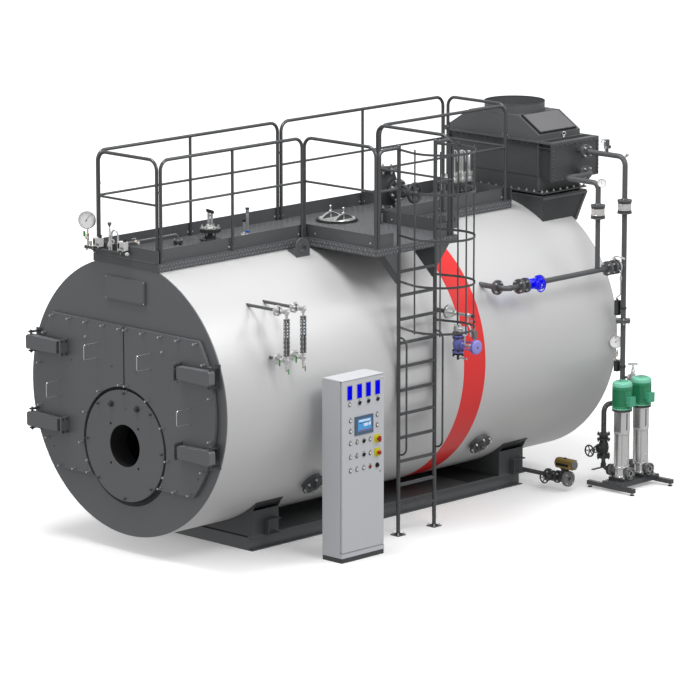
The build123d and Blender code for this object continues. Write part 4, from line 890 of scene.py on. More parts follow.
def make_front():
    front = st(0)
    # The burner plate takes the front's lighter paint: painted light.
    plate = Piece("front_painted_light")
    plate.turned((0, front, BURNER_Z), FRONT, mm(0, 229.9, 0, 605, 47, 605, 50, 602, 50, 234, 46,
        229.9), 128, closed=True)
    plate.turned((0, front, BURNER_Z), FRONT, mm(-200, 229.5, -200, 229.7, 44, 229.7, 44, 229.5),
        96, "soot", closed=True)
    for x in (-0.2, 0.2):
        plate.turned((x, front - 0.05, 1.61), FRONT, mm(0, 36, 4, 36, 6, 26, 30, 24, 36, 18, 36,
            8), 28, CAST)
    plate.ring((0.02, front - 0.051, 1.593), FRONT, 0.014, 0.009, 0.004, 20)
    plate.made("burner_front", "anthracite_paint", "burner_plate")
    # A black ring fills the gap round the burner plate: painted shade of that gap.
    shade_ring = Piece("rubber")
    shade_ring.turned((0, front, BURNER_Z), FRONT, mm(0, 606, 0, 660, 8, 655, 12, 632, 8, 610), 112,
        closed=True)
    shade_ring.made("burner_gap_shade", "anthracite_paint")
    spots = [spot(s[0], FRONT, 1.0) for s in bolt_circle((0, front - 0.05, BURNER_Z), FRONT, 0.574,
        8, start=0)]
    bolts("burner_plate_studs", spots, (12.5, 12, 16, 8, 32), "dark_steel")
    # Flat black rings mark four holes in the burner plate; their black is painted shade of the
    # holes' depth.
    holes = Piece("soot")
    for x in (-0.213, 0.213):
        for z in (-0.215, 0.215):
            holes.ring((x, front - 0.0505, BURNER_Z + 0.002 + z), FRONT, 0.014, 0.003, 0.002, 20)
    holes.made("burner_bolt_holes", "anthracite_paint")
    # The name plate takes the front's lighter paint too: painted light.
    name = Piece("front_painted_light")
    name.box((-0.3, front - 0.025, 2.738), (0.3, front, 2.985), edge=0.004, segments=2)
    name.box((-0.285, front - 0.0275, 2.753), (0.285, front - 0.024, 2.97), edge=0.0015)
    for x in (-0.29, 0.29):
        for z in (2.748, 2.975):
            name.rod((x, front - 0.024, z), (x, front - 0.031, z), 0.006, 12, ZINC, 0.002)
    name.made("bare_name_plate", "plate_steel", "name_plate")
    ears = Piece("steelwork_paint")
    for side in (-1, 1):
        for z in ARM_LEVELS:
            for way in (-1, 1):
                near = z + way * 0.096
                far = near + way * 0.015
                x = side * 1.385
                low, high = min(near, far), max(near, far)
                ears.box((x - 0.022, -3.243, low), (x + 0.026, front, high), CAST, 0.005, 2)
                ears.upright(x, -3.22, far, far + way * 0.01, 0.016, 6, "dark_steel", 0.002)
                ears.upright(x, -3.22, far, far + way * 0.018, 0.008, 12, "dark_steel", 0.002)
            ears.upright(side * 1.385, -3.22, z - 0.111, z + 0.111, 0.012, 20, "dark_steel")
            ears.box((side * 1.385 - 0.036, front - 0.012, z - 0.135),
                (side * 1.385 + 0.036, front, z + 0.135), edge=0.002)
    ears.made("hinge_ears", "anthracite_paint", "hinge_brackets")


class BOILER_OT_front(bpy.types.Operator):
    """Burner plate, name plate, black ring of painted shade in the burner's gap, and hinge brackets
    """
    bl_idname = "boiler.front"
    bl_label = "Front end"

    def execute(self, context):
        make_front()
        return {"FINISHED"}


def leaf(side, label):
    """Flat leaf, two arms with knuckles and two wire handles."""
    r, cut, low, high = 1.38, 0.64, 0.785, 2.475
    outline = [(0.01, high)]
    first = math.asin((high - AXIS_Z) / r)
    last = -math.asin((AXIS_Z - low) / r)
    count = 60
    for k in range(count + 1):
        a = first + (last - first) * k / count
        outline.append((r * math.cos(a), AXIS_Z + r * math.sin(a)))
    first = -math.asin((BURNER_Z - low) / cut)
    last = math.acos(0.01 / cut)
    for k in range(count + 1):
        a = first + (last - first) * k / count
        outline.append((cut * math.cos(a), BURNER_Z + cut * math.sin(a)))
    # The leaf takes the front's lighter paint: painted light.
    piece = Piece("front_painted_light")
    piece.prism([(side * x, -3.11, z) for x, z in outline], (0, -0.04, 0), edge=0.003)
    for z in ARM_LEVELS:

        def span(a, b, y0, y1, h, ease=0.003):
            low_x, high_x = sorted((side * a, side * b))
            piece.box((low_x, y0, z - h), (high_x, y1, z + h), edge=ease)
        span(0.868, 0.885, -3.268, -3.155, 0.092)
        span(0.885, 0.93, -3.235, -3.19, 0.04)
        outline = [(0.93, -0.066), (1.4, -0.078), (1.418, -0.06), (1.418, 0.06), (1.4, 0.078),
            (0.93, 0.066)]
        piece.prism([(side * px, -3.27, z + pz) for px, pz in outline], (0, 0.085, 0), edge=0.004)
        for way in (-1, 1):
            for y in (-3.245, -3.185):
                piece.level(side * 0.884, side * 0.906, y, z + way * 0.068, 0.0165, 10, CAST,
                    0.003)
                piece.level(side * 0.855, side * 0.869, y, z + way * 0.068, 0.012, 10, CAST, 0.003)
    for x, z in ((0.41, 2.16), (1.01, 1.66)):
        x *= side
        piece.tube([(x, -3.145, z - 0.082), (x, -3.345, z - 0.082), (x, -3.345, z + 0.082),
            (x, -3.145, z + 0.082)], 0.0055, 0.022, 10, STEEL)
    node = label + "_door"
    piece.made(label + "_door_leaf", "anthracite_paint", node, body=node + "_body")


def studs(side, label, sizes):
    """Studs round the door's edge and round the burner plate."""
    body = label + "_door_body"
    places = [(x, 2.446) for x in (0.045, 0.306, 0.575, 0.84, 1.107)]
    places += [(1.231, 2.242), (1.324, 1.9), (1.318, 1.434), (1.2, 1.09)]
    places += [(x, 0.81) for x in (0.553, 0.78, 1.005)]
    places += [(0.045, 1.84), (0.37, 1.727), (0.595, 1.469), (0.665, 1.122)]
    bolts(label + "_door_studs", [spot((side * x, -3.15, z), FRONT) for x, z in places],
        (1000 * (0.55 * sizes.stud_across), 13, 1000 * (0.66 * sizes.stud_across), 6.5,
        1000 * sizes.stud_proud), "grey_plastic", body=body)
    bolts(label + "_door_stud_tips", [spot((side * x, -3.146 - sizes.stud_proud, z), FRONT) for x,
        z in places], (11.2, 11, 9.5, 6, 12), body=body)
    lift = [(0.59, 2.285), (0.59, 0.93)]
    bolts(label + "_door_lifting_studs", [spot((side * x, -3.15, z), FRONT) for x, z in lift],
        (11, 16, 13, 6, 18), body=body)
    plugs = [(0.19, 2.02), (1.16, 1.27), (0.82, 2.0), (1.12, 1.0)]
    bolts(label + "_door_plugs", [spot((side * x, -3.15, z), FRONT) for x, z in plugs],
        (8, 4, 11, 4, 3), "dark_steel", body=body)


def make_doors(scene):
    sizes = scene.boiler_sizes
    for side, label in ((1, "right"), (-1, "left")):
        leaf(side, label)
        studs(side, label, sizes)


class BOILER_OT_doors(bpy.types.Operator):
    """Two door leaves with arms, wire handles and studs"""
    bl_idname = "boiler.doors"
    bl_label = "Doors"

    def execute(self, context):
        make_doors(context.scene)
        return {"FINISHED"}


class BOILER_OT_tubes(bpy.types.Operator):
    """Tube ends on the front tube plate, seen with the doors open"""
    bl_idname = "boiler.tubes"
    bl_label = "Tube ends"

    def execute(self, context):
        spots = []
        pitch = 0.082
        for row in range(-14, 16):
            for column in range(-16, 17):
                x = (column + 0.5 * (row % 2)) * pitch
                z = AXIS_Z + row * pitch * 0.866
                if math.hypot(x, z - AXIS_Z) > 1.2 or math.hypot(x, z - BURNER_Z) < 0.7:
                    continue
                if z < 1.25 or abs(x) < 0.05 or 1.98 < z < 2.06:
                    continue
                spots.append(spot((x, -2.751, z), FRONT))
        repeat("cup", "fire_tube_ends", spots, (28.5, 5, 8), "dark_steel")
        return {"FINISHED"}


def railing_panel(piece, a, b, posts=()):
    """Bent top tube with its two posts, mid rail and extra posts."""
    r = bpy.context.scene.boiler_sizes.rail_radius
    (xa, ya), (xb, yb) = (a, b)
    top = RAIL_TOP - 0.001
    piece.tube([(xa, ya, WALK_Z), (xa, ya, top), (xb, yb, top), (xb, yb, WALK_Z)], r, 0.11, 14,
        steps=9)
    piece.rod((xa, ya, MID_RAIL_Z), (xb, yb, MID_RAIL_Z), 0.72 * r, 12)
    for x, y in posts:
        piece.upright(x, y, WALK_Z, top, 0.9 * r, 12)


def clamp(piece, x, y, way, z=3.95):
    """Short tie between two neighbouring posts with its screw."""
    run = Vector(way) * 0.034
    centre = Vector((x, y, z))
    piece.rod(centre - run, centre + run, 0.007, 8, ZINC)
    piece.ring((x, y, z), UP, 0.024, 0.018, 0.018, 16)


def make_railings():
    x, y = 0.482, st
    kick = WALK_Z + KICK
    left = Piece("rail_paint")
    railing_panel(left, (-x, y(0.05)), (-x, y(2.74)), [(-x, y(1.4085))])
    railing_panel(left, (-x, y(2.795)), (-x, y(5.41)), [(-x, y(4.0885))])
    left.box((-0.503, y(0.03), WALK_Z), (-0.497, y(5.43), kick), "steelwork_paint", 0.001)
    right = Piece("rail_paint")
    railing_panel(right, (x, y(0.05)), (x, y(2.15)), [(x, y(1.1))])
    for a, b in ((0.03, 1.095), (1.105, 2.235)):
        right.box((0.452, y(a), WALK_Z), (0.458, y(b), kick), "steelwork_paint", 0.001)
    rear = Piece("rail_paint")
    railing_panel(rear, (x, y(3.36)), (x, y(5.41)), [(x, y(4.385))])
    rear.box((0.452, y(3.47), WALK_Z), (0.458, y(5.43), kick), "steelwork_paint", 0.001)
    ends = Piece("rail_paint")
    railing_panel(ends, (-0.446, y(0.03)), (0.446, y(0.03)))
    ends.box((-0.503, y(-0.011), WALK_Z + 0.007), (0.503, y(0), kick), "steelwork_paint", 0.002)
    back = Piece("rail_paint")
    railing_panel(back, (-0.446, y(5.457)), (0.446, y(5.457)))
    back.box((-0.503, y(5.494), WALK_Z), (0.503, y(5.5), kick), "steelwork_paint", 0.001)
    side = Piece("rail_paint")
    railing_panel(side, (0.463, y(2.205)), (1.515, y(2.222)))
    railing_panel(side, (0.445, y(3.362)), (1.515, y(3.368)))
    for a, b, c, d in ((0.46, 2.232, 1.51, 2.238), (0.46, 3.432, 1.51, 3.438),
            (1.504, 2.232, 1.51, 2.5), (1.504, 3.19, 1.51, 3.438)):
        side.box((a, y(b), WALK_Z), (c, y(d), kick), "steelwork_paint", 0.001)
    for piece, place, way in ((left, (-x, y(2.7675)), BACK), (left, (-0.4545, y(0.036)), RIGHT),
            (right, (0.4545, y(0.036)), RIGHT), (right, (0.472, y(2.1775)), BACK),
            (rear, (0.4635, y(3.361)), RIGHT), (back, (0.4545, y(5.437)), RIGHT),
            (left, (-0.4545, y(5.437)), RIGHT)):
        clamp(piece, place[0], place[1], way)
    left.made("left_rail", "anthracite_paint", "left_railing")
    right.made("right_front_rail", "anthracite_paint", "right_front_railing")
    rear.made("right_rear_rail", "anthracite_paint", "right_rear_railing")
    ends.made("front_rail", "anthracite_paint", "front_railing")
    back.made("rear_rail", "anthracite_paint", "rear_railing")
    side.made("landing_rails", "anthracite_paint", "landing_railings")
    spots = []
    for px, plate, stations in ((x, 0.458, (0.05, 1.1, 2.15, 4.385, 5.41)),
            (-x, -0.497, (0.05, 1.4085, 2.74, 2.795, 4.0885, 5.41))):
        for station in stations:
            for dy in (-0.034, 0.034):
                spots.append(spot((plate, y(station) + dy, WALK_Z + 0.04), RIGHT))
    for station in (2.2, 3.47):
        for px in (0.6, 1.43):
            spots.append(spot((px, y(station) + (0.032 if station < 3 else -0.038), WALK_Z + 0.05),
                FRONT))
    bolts("post_bolts", spots, (8, 7, 10.5, 5, 12))


class BOILER_OT_railings(bpy.types.Operator):
    """Railings of the deck and the landing with their kick plates"""
    bl_idname = "boiler.railings"
    bl_label = "Railings"

    def execute(self, context):
        make_railings()
        return {"FINISHED"}


def make_treads(scene):
    pitch = scene.boiler_sizes.tread_pitch
    gaps = [(0, st(s), neck + 0.02) for s, neck, _, _ in TOP_NOZZLES]
    gaps += [(0, st(s), 0.036) for s in THIN_PROBES]
    gaps += [(-0.2, st(0.948), 0.034), (0, st(3.183), 0.256)]
    spots = []

    def rows(low, high, place, aim, u, v, reach_v):
        """Bars over a strip, turned one way and the other by turns."""
        count_u = int((high - low) / pitch)
        count_v = max(1, round(reach_v[1] / pitch - reach_v[0] / pitch))
        for i in range(count_u):
            for j in range(count_v):
                a = low + (i + (0.3, 0.7)[j % 2]) * (high - low) / count_u
                b = reach_v[0] + (j + 0.5) * (reach_v[1] - reach_v[0]) / count_v
                point = Vector(place) + Vector(u) * a + Vector(v) * b
                if aim == UP and any(math.hypot(point.x - gx, point.y - gy) < r
                        for gx, gy, r in gaps):
                    continue
                way = 1 if (i + j) % 2 else -1
                spots.append(spot(point, aim, 1.0, Vector(u) + Vector(v) * way))
    top = (0, 0, WALK_Z)
    pitch *= 0.86
    rows(st(0.01), st(5.48), top, UP, BACK, RIGHT, (-0.49, 0.49))
    rows(st(2.21), st(3.46), top, UP, BACK, RIGHT, (0.52, 1.53))
    repeat("bar", "tread_bars", spots, (34, 9, 4), "tread_paint")
    spots.clear()
    for side in (-1, 1):
        edge = (side * 0.503, 0, 0)
        spans = ((0, 5.5),) if side < 0 else ((0, 2.2), (3.47, 5.5))
        for a, b in spans:
            rows(st(a + 0.01), st(b - 0.01), edge, (side, 0, 0), BACK, UP,
                (WALK_Z - FOLD + 0.004, WALK_Z - 0.004))
    for station, way in ((2.2, -1), (3.47, 1)):
        rows(0.52, 1.53, (0, st(station), 0), (0, way, 0), RIGHT, UP,
            (WALK_Z - FOLD + 0.004, WALK_Z - 0.004))
    rows(st(2.21), st(3.46), (1.542, 0, 0), RIGHT, BACK, UP, (WALK_Z - FOLD + 0.004,
        WALK_Z - 0.004))
    repeat("bar", "fold_bars", spots, (34, 10, 4), "fold_paint")


class BOILER_OT_treads(bpy.types.Operator):
    """Raised bars of the tread plate on the deck, the landing and their folds"""
    bl_idname = "boiler.treads"
    bl_label = "Tread plate"

    def execute(self, context):
        make_treads(context.scene)
        return {"FINISHED"}


def make_ladder(scene):
    sizes = scene.boiler_sizes
    piece = Piece("rail_paint")
    low, high = LADDER_YS
    for y, foot in ((low, -0.851), (high, 0.3)):
        piece.upright(LADDER_X, y, 0.012, 4.2795, 0.022, 20, edge=0.004)
        piece.bar(LADDER_X - 0.06, LADDER_X + 0.06, y, 0.06, 0, 0.012)
        piece.ring((LADDER_X, y, 0.016), UP, 0.028, 0.021, 0.008, 20, edge=0.003)
        piece.tube([(LADDER_X, y, 2.19), (LADDER_X + 0.12, y, 2.19), (LADDER_X + 0.12, y, 0.9),
            (LADDER_X, y, 0.9)], 0.011, 0.085, 12, steps=8)
        piece.tube([(LADDER_X, foot, WALK_Z), (LADDER_X, foot, 4.2515), (LADDER_X, y, 4.2515)],
            sizes.rail_radius, 0.09, 14, steps=9)
        piece.rod((LADDER_X, foot, MID_RAIL_Z), (LADDER_X, y, MID_RAIL_Z), 0.015, 12)
    rungs = [0.29 + k * sizes.rung_pitch for k in range(11)]
    ribs = []
    for z in rungs:
        piece.box((LADDER_X - 0.018, low + 0.014, z - 0.01), (LADDER_X + 0.018, high - 0.014,
            z + 0.018), edge=0.003)
        for k in range(24):
            y = low + 0.035 + k * (high - low - 0.07) / 23
            ribs.append(spot((LADDER_X + 0.006, y, z + 0.018), UP, 1.0, RIGHT))
            ribs.append(spot((LADDER_X + 0.018, y, z + 0.002), RIGHT, 1.0, UP))
    piece.made("ladder_frame", "anthracite_paint", "ladder")
    repeat("bar", "rung_ribs", ribs, (20, 9, 4), "tread_paint")
    spots = []
    for y in LADDER_YS:
        for dx in (-0.042, 0.042):
            for dy in (-0.042, 0.042):
                spots.append(spot((LADDER_X + dx, y + dy, 0.012), UP))
    bolts("ladder_bolts", spots, (9, 8, 13, 6, 18))


class BOILER_OT_ladder(bpy.types.Operator):
    """Ladder with ribbed rungs, grab rails and side arches"""
    bl_idname = "boiler.ladder"
    bl_label = "Ladder"

    def execute(self, context):
        make_ladder(context.scene)
        return {"FINISHED"}


class BOILER_OT_cage(bpy.types.Operator):
    """Safety cage of flat hoops and round uprights, bolted at its crossings"""
    bl_idname = "boiler.cage"
    bl_label = "Safety cage"

    def execute(self, context):
        piece = Piece("rail_paint")
        centre = Vector((1.88, -0.254, 0))
        r, wing = 0.37, math.radians(105.9)
        levels = (2.305, 2.807, 3.309, 3.811, 4.236)
        for z in levels:
            path = [Vector((LADDER_X + 0.023, LADDER_YS[0] - 0.0065, z))]
            for k in range(49):
                a = -wing + 2 * wing * k / 48
                path.append(centre + Vector((r * math.cos(a), r * math.sin(a), z)))
            path.append(Vector((LADDER_X + 0.023, LADDER_YS[1] + 0.0065, z)))
            piece.strap(path, UP, 0.025, 0.006)
        for turn in (-98, -48, 2, 52, 102):
            a = math.radians(turn)
            out = Vector((math.cos(a), math.sin(a), 0))
            foot = centre + out * (r - 0.011) + Vector((0, 0, levels[0] - 0.03))
            piece.rod(foot, (foot.x, foot.y, 4.2765), 0.009, 14, edge=0.003)
            for z in levels:
                point = centre + out * (r - 0.001) + Vector((0, 0, z))
                piece.rod(point, point + out * 0.0037, 0.0065, 10, edge=0.001)
        piece.made("safety_cage", "anthracite_paint", "ladder_cage")
        return {"FINISHED"}


def dial(piece, centre, aim, r, needle=0.6):
    """Pressure dial: case, bright rim, white face with its ticks and needle."""
    run = Vector(aim).normalized()
    up = Vector(UP)
    side = up.cross(run).normalized()
    centre = Vector(centre)
    back = centre - run * 0.05 * (r / 0.095)
    piece.turned(back, run, [(0, 0.7 * r), (0.004, 0.94 * r), (0.012, r), (0.048 * r / 0.095, r),
        (0.052 * r / 0.095, 0.98 * r), (0.052 * r / 0.095, 0.87 * r),
        (0.042 * r / 0.095, 0.86 * r)], 48, STEEL)
    face = back + run * (0.0445 * r / 0.095)
    # The face takes the glowing white: painted light.
    piece.rod(face - run * 0.004, face, 0.862 * r, 48, "dial_face_glow")
    for k in range(25):
        a = math.radians(-45 + 270 * k / 24)
        out = side * -math.cos(a) + up * math.sin(a)
        flat = run.cross(out)
        long = 0.16 if k % 4 == 0 else 0.08
        width = 0.012 if k % 4 == 0 else 0.007
        a0, a1 = face + out * (0.8 - long) * r, face + out * 0.8 * r
        piece.prism([a0 - flat * width * r, a0 + flat * width * r, a1 + flat * width * r,
            a1 - flat * width * r], run * 0.0006, "soot")
    a = math.radians(-45 + 270 * needle)
    out = side * -math.cos(a) + up * math.sin(a)
    flat = run.cross(out)
    tip = face + run * 0.001
    piece.prism([tip - out * 0.22 * r - flat * 0.03 * r, tip - out * 0.22 * r + flat * 0.03 * r,
        tip + out * 0.74 * r + flat * 0.012 * r, tip + out * 0.74 * r - flat * 0.012 * r],
        run * 0.0012, "red_plastic")
    piece.rod(face, face + run * 0.004, 0.07 * r, 16, "soot", 0.001)


def cock(piece, centre, pipe, handle, r=0.016, lever="green_plastic", reach=0.07):
    """Small cock: hexagon ends, round body and a lever."""
    pipe, handle = Vector(pipe).normalized(), Vector(handle).normalized()
    centre = Vector(centre)
    for way in (-1, 1):
        piece.rod(centre + pipe * way * r * 1.1, centre + pipe * way * r * 2.0, r * 1.05, 6,
            "brass", r * 0.12)
    piece.rod(centre - pipe * r * 1.3, centre + pipe * r * 1.3, r, 20, STEEL, r * 0.2)
    piece.rod(centre, centre + handle * r * 1.9, r * 0.55, 14, STEEL)
    piece.rod(centre + handle * r * 1.9, centre + handle * r * 2.4, r * 0.75, 6, ZINC, r * 0.1)
    grip = centre + handle * r * 2.0
    side = handle.cross(pipe)
    piece.prism([grip - side * r * 0.35 - pipe * r * 0.6, grip + side * r * 0.35 - pipe * r * 0.6,
        grip + side * r * 0.45 + pipe * reach, grip - side * r * 0.45 + pipe * reach],
        handle * r * 0.5, lever, r * 0.12)


def switch_box(piece, centre, wide, high, deep, cap=True):
    """Small white switch: case, dark window, socket and its screwed neck."""
    x, y, z = centre
    piece.box((x - wide / 2, y - deep / 2, z - high / 2), (x + wide / 2, y + deep / 2,
        z + high / 2), "white_plastic", 0.006, 2)
    piece.box((x - 0.42 * wide, y - deep / 2 - 0.003, z - 0.3 * high),
        (x - 0.2 * wide, y - deep / 2 + 0.002, z + 0.32 * high), "soot", 0.002)
    piece.box((x - 0.05 * wide, y - deep / 2 - 0.002, z - 0.36 * high),
        (x + 0.42 * wide, y - deep / 2 + 0.002, z - 0.1 * high), "grey_plastic", 0.0015)
    piece.rod((x + 0.1 * wide, y - deep / 2, z + 0.2 * high), (x + 0.1 * wide,
        y - deep / 2 - 0.005, z + 0.2 * high), 0.006, 14, ZINC, 0.001)
    if cap:
        piece.upright(x + 0.28 * wide, y, z + high / 2 - 0.002, z + high / 2 + 0.014, 0.018, 20,
            "rubber", 0.003)
        piece.rod((x + 0.28 * wide, y, z + high / 2 + 0.012), (x + 0.52 * wide, y,
            z + high / 2 + 0.03), 0.011, 14, "rubber", 0.003)
    piece.upright(x, y, z - high / 2 - 0.03, z - high / 2, 0.014, 6, "brass", 0.002)


def make_instruments():
    y, z = -3.16, 3.262
    piece = Piece("rail_paint")
    piece.level(-0.562, 0.09, y, z, 0.0165, 20, edge=0.003)
    piece.level(-0.57, -0.55, y, z, 0.021, 6, "dark_steel", 0.003)
    piece.level(0.062, 0.098, y, z, 0.019, 20, "white_plastic", 0.005)
    for x in (-0.43, 0):
        piece.box((x - 0.02, y - 0.02, z - 0.02), (x + 0.02, -3.106, z + 0.02), edge=0.003)
        piece.box((x - 0.035, -3.112, z - 0.035), (x + 0.035, -3.106, z + 0.035), edge=0.001)
        piece.hoop((x, y, z), RIGHT, 0.019, 0.004, 24, 8, STEEL)
    x = -0.527
    piece.upright(x, y, z, 3.33, 0.011, 16, STEEL)
    cock(piece, (x, y, 3.36), UP, FRONT, 0.013, STEEL, 0.03)
    piece.upright(x, y, 3.385, 3.408, 0.015, 6, "brass", 0.002)
    piece.upright(x, y, 3.4, 3.47, 0.008, 14, "brass")
    piece.box((x - 0.05, y - 0.02, 3.374), (x - 0.022, y - 0.014, 3.432), "green_plastic", 0.002)
    piece.rod((x - 0.036, y - 0.017, 3.4), (x, y, 3.4), 0.004, 8, STEEL)
    dial(piece, (x, y - 0.02, 3.552), (0.42, -1, 0), 0.095, 0.62)
    piece.upright(x - 0.02, y, z, z - 0.035, 0.012, 14, STEEL, 0.002)
    cock(piece, (x + 0.045, y, 3.31), UP, FRONT, 0.012, STEEL, 0.03)
    piece.upright(x + 0.045, y, z, 3.3, 0.008, 12, STEEL)
    switch_box(piece, (-0.365, y, 3.338), 0.105, 0.092, 0.06)
    piece.upright(-0.365, y, z, 3.28, 0.013, 14, STEEL)
    x = -0.187
    piece.upright(x, y, z, 3.3, 0.014, 6, STEEL, 0.002)
    piece.turned((x, y, 3.296), UP, mm(0, 12, 10, 22, 30, 26, 55, 20, 70, 11, 130, 9), 24, STEEL)
    for k in range(7):
        piece.ring((x, y, 3.43 + 0.011 * k), UP, 0.0125, 0.003, 0.006, 20, STEEL, 0.001)
    piece.upright(x, y, 3.42, 3.53, 0.006, 12, STEEL)
    piece.turned((x, y, 3.522), UP, mm(0, 8, 12, 12, 30, 22, 44, 22, 48, 19), 20, "dark_steel")
    piece.tube([(-0.156, y, z), (-0.156, y, 3.494), (-0.057, y, 3.494), (-0.057, y, z)], 0.0105,
        0.0494, 12, STEEL, 10)
    piece.hoop((-0.128, y - 0.012, 3.372), BACK, 0.022, 0.0065, 28, 10, STEEL)
    switch_box(piece, (0.014, y, 3.342), 0.105, 0.092, 0.06)
    piece.upright(0.014, y, z, 3.29, 0.013, 14, STEEL)
    piece.made("instrument_set", "anthracite_paint", "instrument_bar")
    pipe = Piece(STEEL)
    x, tap = -0.2, st(0.948)
    pipe.flange((x, tap, 3.237), UP, 0.052, 0.016, CAST)
    pipe.tube([(x, tap, 3.24), (x, tap, 3.312), (x, y, 3.312), (x, y, z)], 0.0115, 0.045, 14,
        "gauge_body", 8)
    cock(pipe, (x, -2.78, 3.312), FRONT, UP, 0.015, STEEL, 0.05)
    pipe.rod((x - 0.03, -2.78, 3.312), (x + 0.045, -2.78, 3.302), 0.007, 12, STEEL)
    pipe.rod((x + 0.04, -2.78, 3.303), (x + 0.062, -2.78, 3.3), 0.016, 16, "white_plastic", 0.004)
    pipe.made("gauge_pipe_run", "cast_fitting", "gauge_pipe")
    bolts("gauge_tap_bolts", both_faces((x, tap, 3.229), UP, 0.016, 0.038, 4), (9, 8, 11, 5, 16))


class BOILER_OT_instruments(bpy.types.Operator):
    """Instrument bar at the deck's front with dial, switches, siphon and cocks"""
    bl_idname = "boiler.instruments"
    bl_label = "Instrument bar"

    def execute(self, context):
        make_instruments()
        return {"FINISHED"}


def make_probes():
    y = st(1.235)
    piece = Piece(CAST)
    piece.turned((0, y, 3.256), UP, mm(0, 62, 30, 58, 62, 62, 70, 115, 72, 117, 86, 117, 88, 112,
        92, 112, 94, 117, 108, 117, 110, 114, 110, 30), 40)
    piece.turned((0, y, 3.366), UP, mm(0, 72, 6, 70, 12, 50, 20, 45, 20, 10), 32, STEEL)
    for side in (-1, 1):
        px, py = side * 0.0115, y + side * 0.0115
        piece.upright(px, py, 3.38, 3.535, 0.0135, 18, STEEL)
        piece.upright(px, py, 3.384, 3.4, 0.021, 6, ZINC, 0.002)
        piece.ring((px, py, 3.5), UP, 0.0175, 0.013, 0.012, 18, STEEL, 0.002)
    cap = [(-0.04, 3.545), (0.04, 3.522), (0.044, 3.54), (0.034, 3.55), (-0.032, 3.572),
        (-0.044, 3.57)]
    flat = Vector((0.7071, 0.7071, 0))
    deep = Vector((-0.7071, 0.7071, 0)) * 0.056
    piece.prism([Vector((0, y, h)) + flat * a - deep / 2 for a, h in cap], deep, "rubber", 0.004,
        2)
    for station, high, cap_r, ring in ((1.745, 3.4, 0.019, False), (1.795, 3.517, 0.02, True)):
        py = st(station)
        piece.flange((0, py, 3.227), UP, 0.034, 0.01, STEEL)
        piece.upright(0, py, 3.222, 3.25, 0.02, 6, STEEL, 0.003)
        piece.upright(0, py, 3.245, high - 0.024, 0.0165, 18, STEEL)
        if ring:
            piece.ring((0, py, 3.256), UP, 0.027, 0.016, 0.02, 20, "blue_plastic", 0.002)
            piece.upright(0, py, high - 0.06, high - 0.03, 0.019, 18, "grey_plastic", 0.003)
            piece.turned((0, py, high - 0.03), UP, mm(0, 12, 12, 21, 30, 24, 30, 12), 20,
                "dark_steel")
        else:
            piece.upright(0, py, high - 0.034, high, cap_r, 20, "rubber", 0.004)
        for px, qy in around(0, py, 0.027, 4):
            piece.upright(px, qy, 3.23, 3.241, 0.005, 6, ZINC, 0.001)
    piece.made("probes", "cast_fitting", "level_probes")
    bolts("probe_bolts", bolt_circle((0, y, 3.366), UP, 0.096, 8) + bolt_circle((0, y, 3.326),
        DOWN, 0.096, 8), (13.5, 13, 16, 8, 26))
    y = st(3.183)
    lid = Piece(STEEL)
    base = 3.214
    # The black ring round the lid stands for the shadow at the edge of the deck's hole: painted
    # shade.
    lid.turned((0, y, base), UP, mm(-2, 196, 0, 226, 6, 227, 8, 222, 6, 196), 64, "rubber",
        closed=True)
    lid.turned((0, y, base), UP, mm(-30, 20, -12, 150, 0, 200, 8, 208, 16, 205, 14, 194, -2, 150,
        -16, 70, -19, 0), 64, STEEL)
    for x in (-0.1, 0.1):
        arch = [(x, y + s * 0.148,
            base + 0.008 + 0.062 * (1 - s * s)) for s in [k / 8 - 1 for k in range(17)]]
        # The bridges' sides are dark and a bright strap lies on their top edge: painted shade on
        # the sides and a painted highlight along the top.
        plate = [(x - 0.007, b, c) for _, b, c in arch]
        lid.prism(plate, (0.014, 0, 0), "dark_steelwork", 0.001)
        lid.strap(arch, RIGHT, 0.024, 0.007, STEEL)
        lid.upright(x, y, base, base + 0.142, 0.009, 14, ZINC)
        lid.upright(x, y, base + 0.074, base + 0.09, 0.019, 6, ZINC, 0.002)
        lid.upright(x, y, base + 0.069, base + 0.074, 0.024, 18, ZINC)
        lid.upright(x, y, base + 0.128, base + 0.146, 0.0145, 14, ZINC, 0.005)
    lid.made("manhole_cover", "fitting_steel", "manhole_lid")


class BOILER_OT_probes(bpy.types.Operator):
    """Level probe, two thin probes and the manhole's lid with its bridges"""
    bl_idname = "boiler.probes"
    bl_label = "Probes and manhole"

    def execute(self, context):
        make_probes()
        return {"FINISHED"}


def hand_wheel(name, body, slot, node, finish, centre, axis, r, rim, stem, reach, spokes=5):
    """Spoked wheel with hub, nut and the stem behind it, as a piece of its own."""
    piece = Piece(finish, STEEL)
    run = Vector(axis).normalized()
    centre = Vector(centre)
    piece.hoop(centre, run, r - rim / 2, rim / 2, 56, 12, finish)
    x, y = across(run)
    for k in range(spokes):
        a = TURN * (k + 0.25) / spokes
        out = x * math.cos(a) + y * math.sin(a)
        start = centre + out * (1.6 * stem) - run * (0.5 * stem)
        piece.tube([start, centre + out * (0.45 * r) - run * (0.5 * stem),
            centre + out * (r - 0.7 * rim)], 0.36 * rim, 0.1 * r, 10, finish, 4)
    piece.turned(centre, run, [(-1.6 * stem, 1.5 * stem), (-1.4 * stem, 2.1 * stem),
        (0.7 * stem, 2.1 * stem), (1.0 * stem, 1.6 * stem)], 24, finish)
    piece.rod(centre - run * reach, centre + run * 1.9 * stem, stem, 16, STEEL, 0.15 * stem)
    piece.rod(centre + run * 0.9 * stem, centre + run * 1.6 * stem, 1.5 * stem, 6, STEEL,
        0.15 * stem)
    piece.made(name, slot, node, body=body)


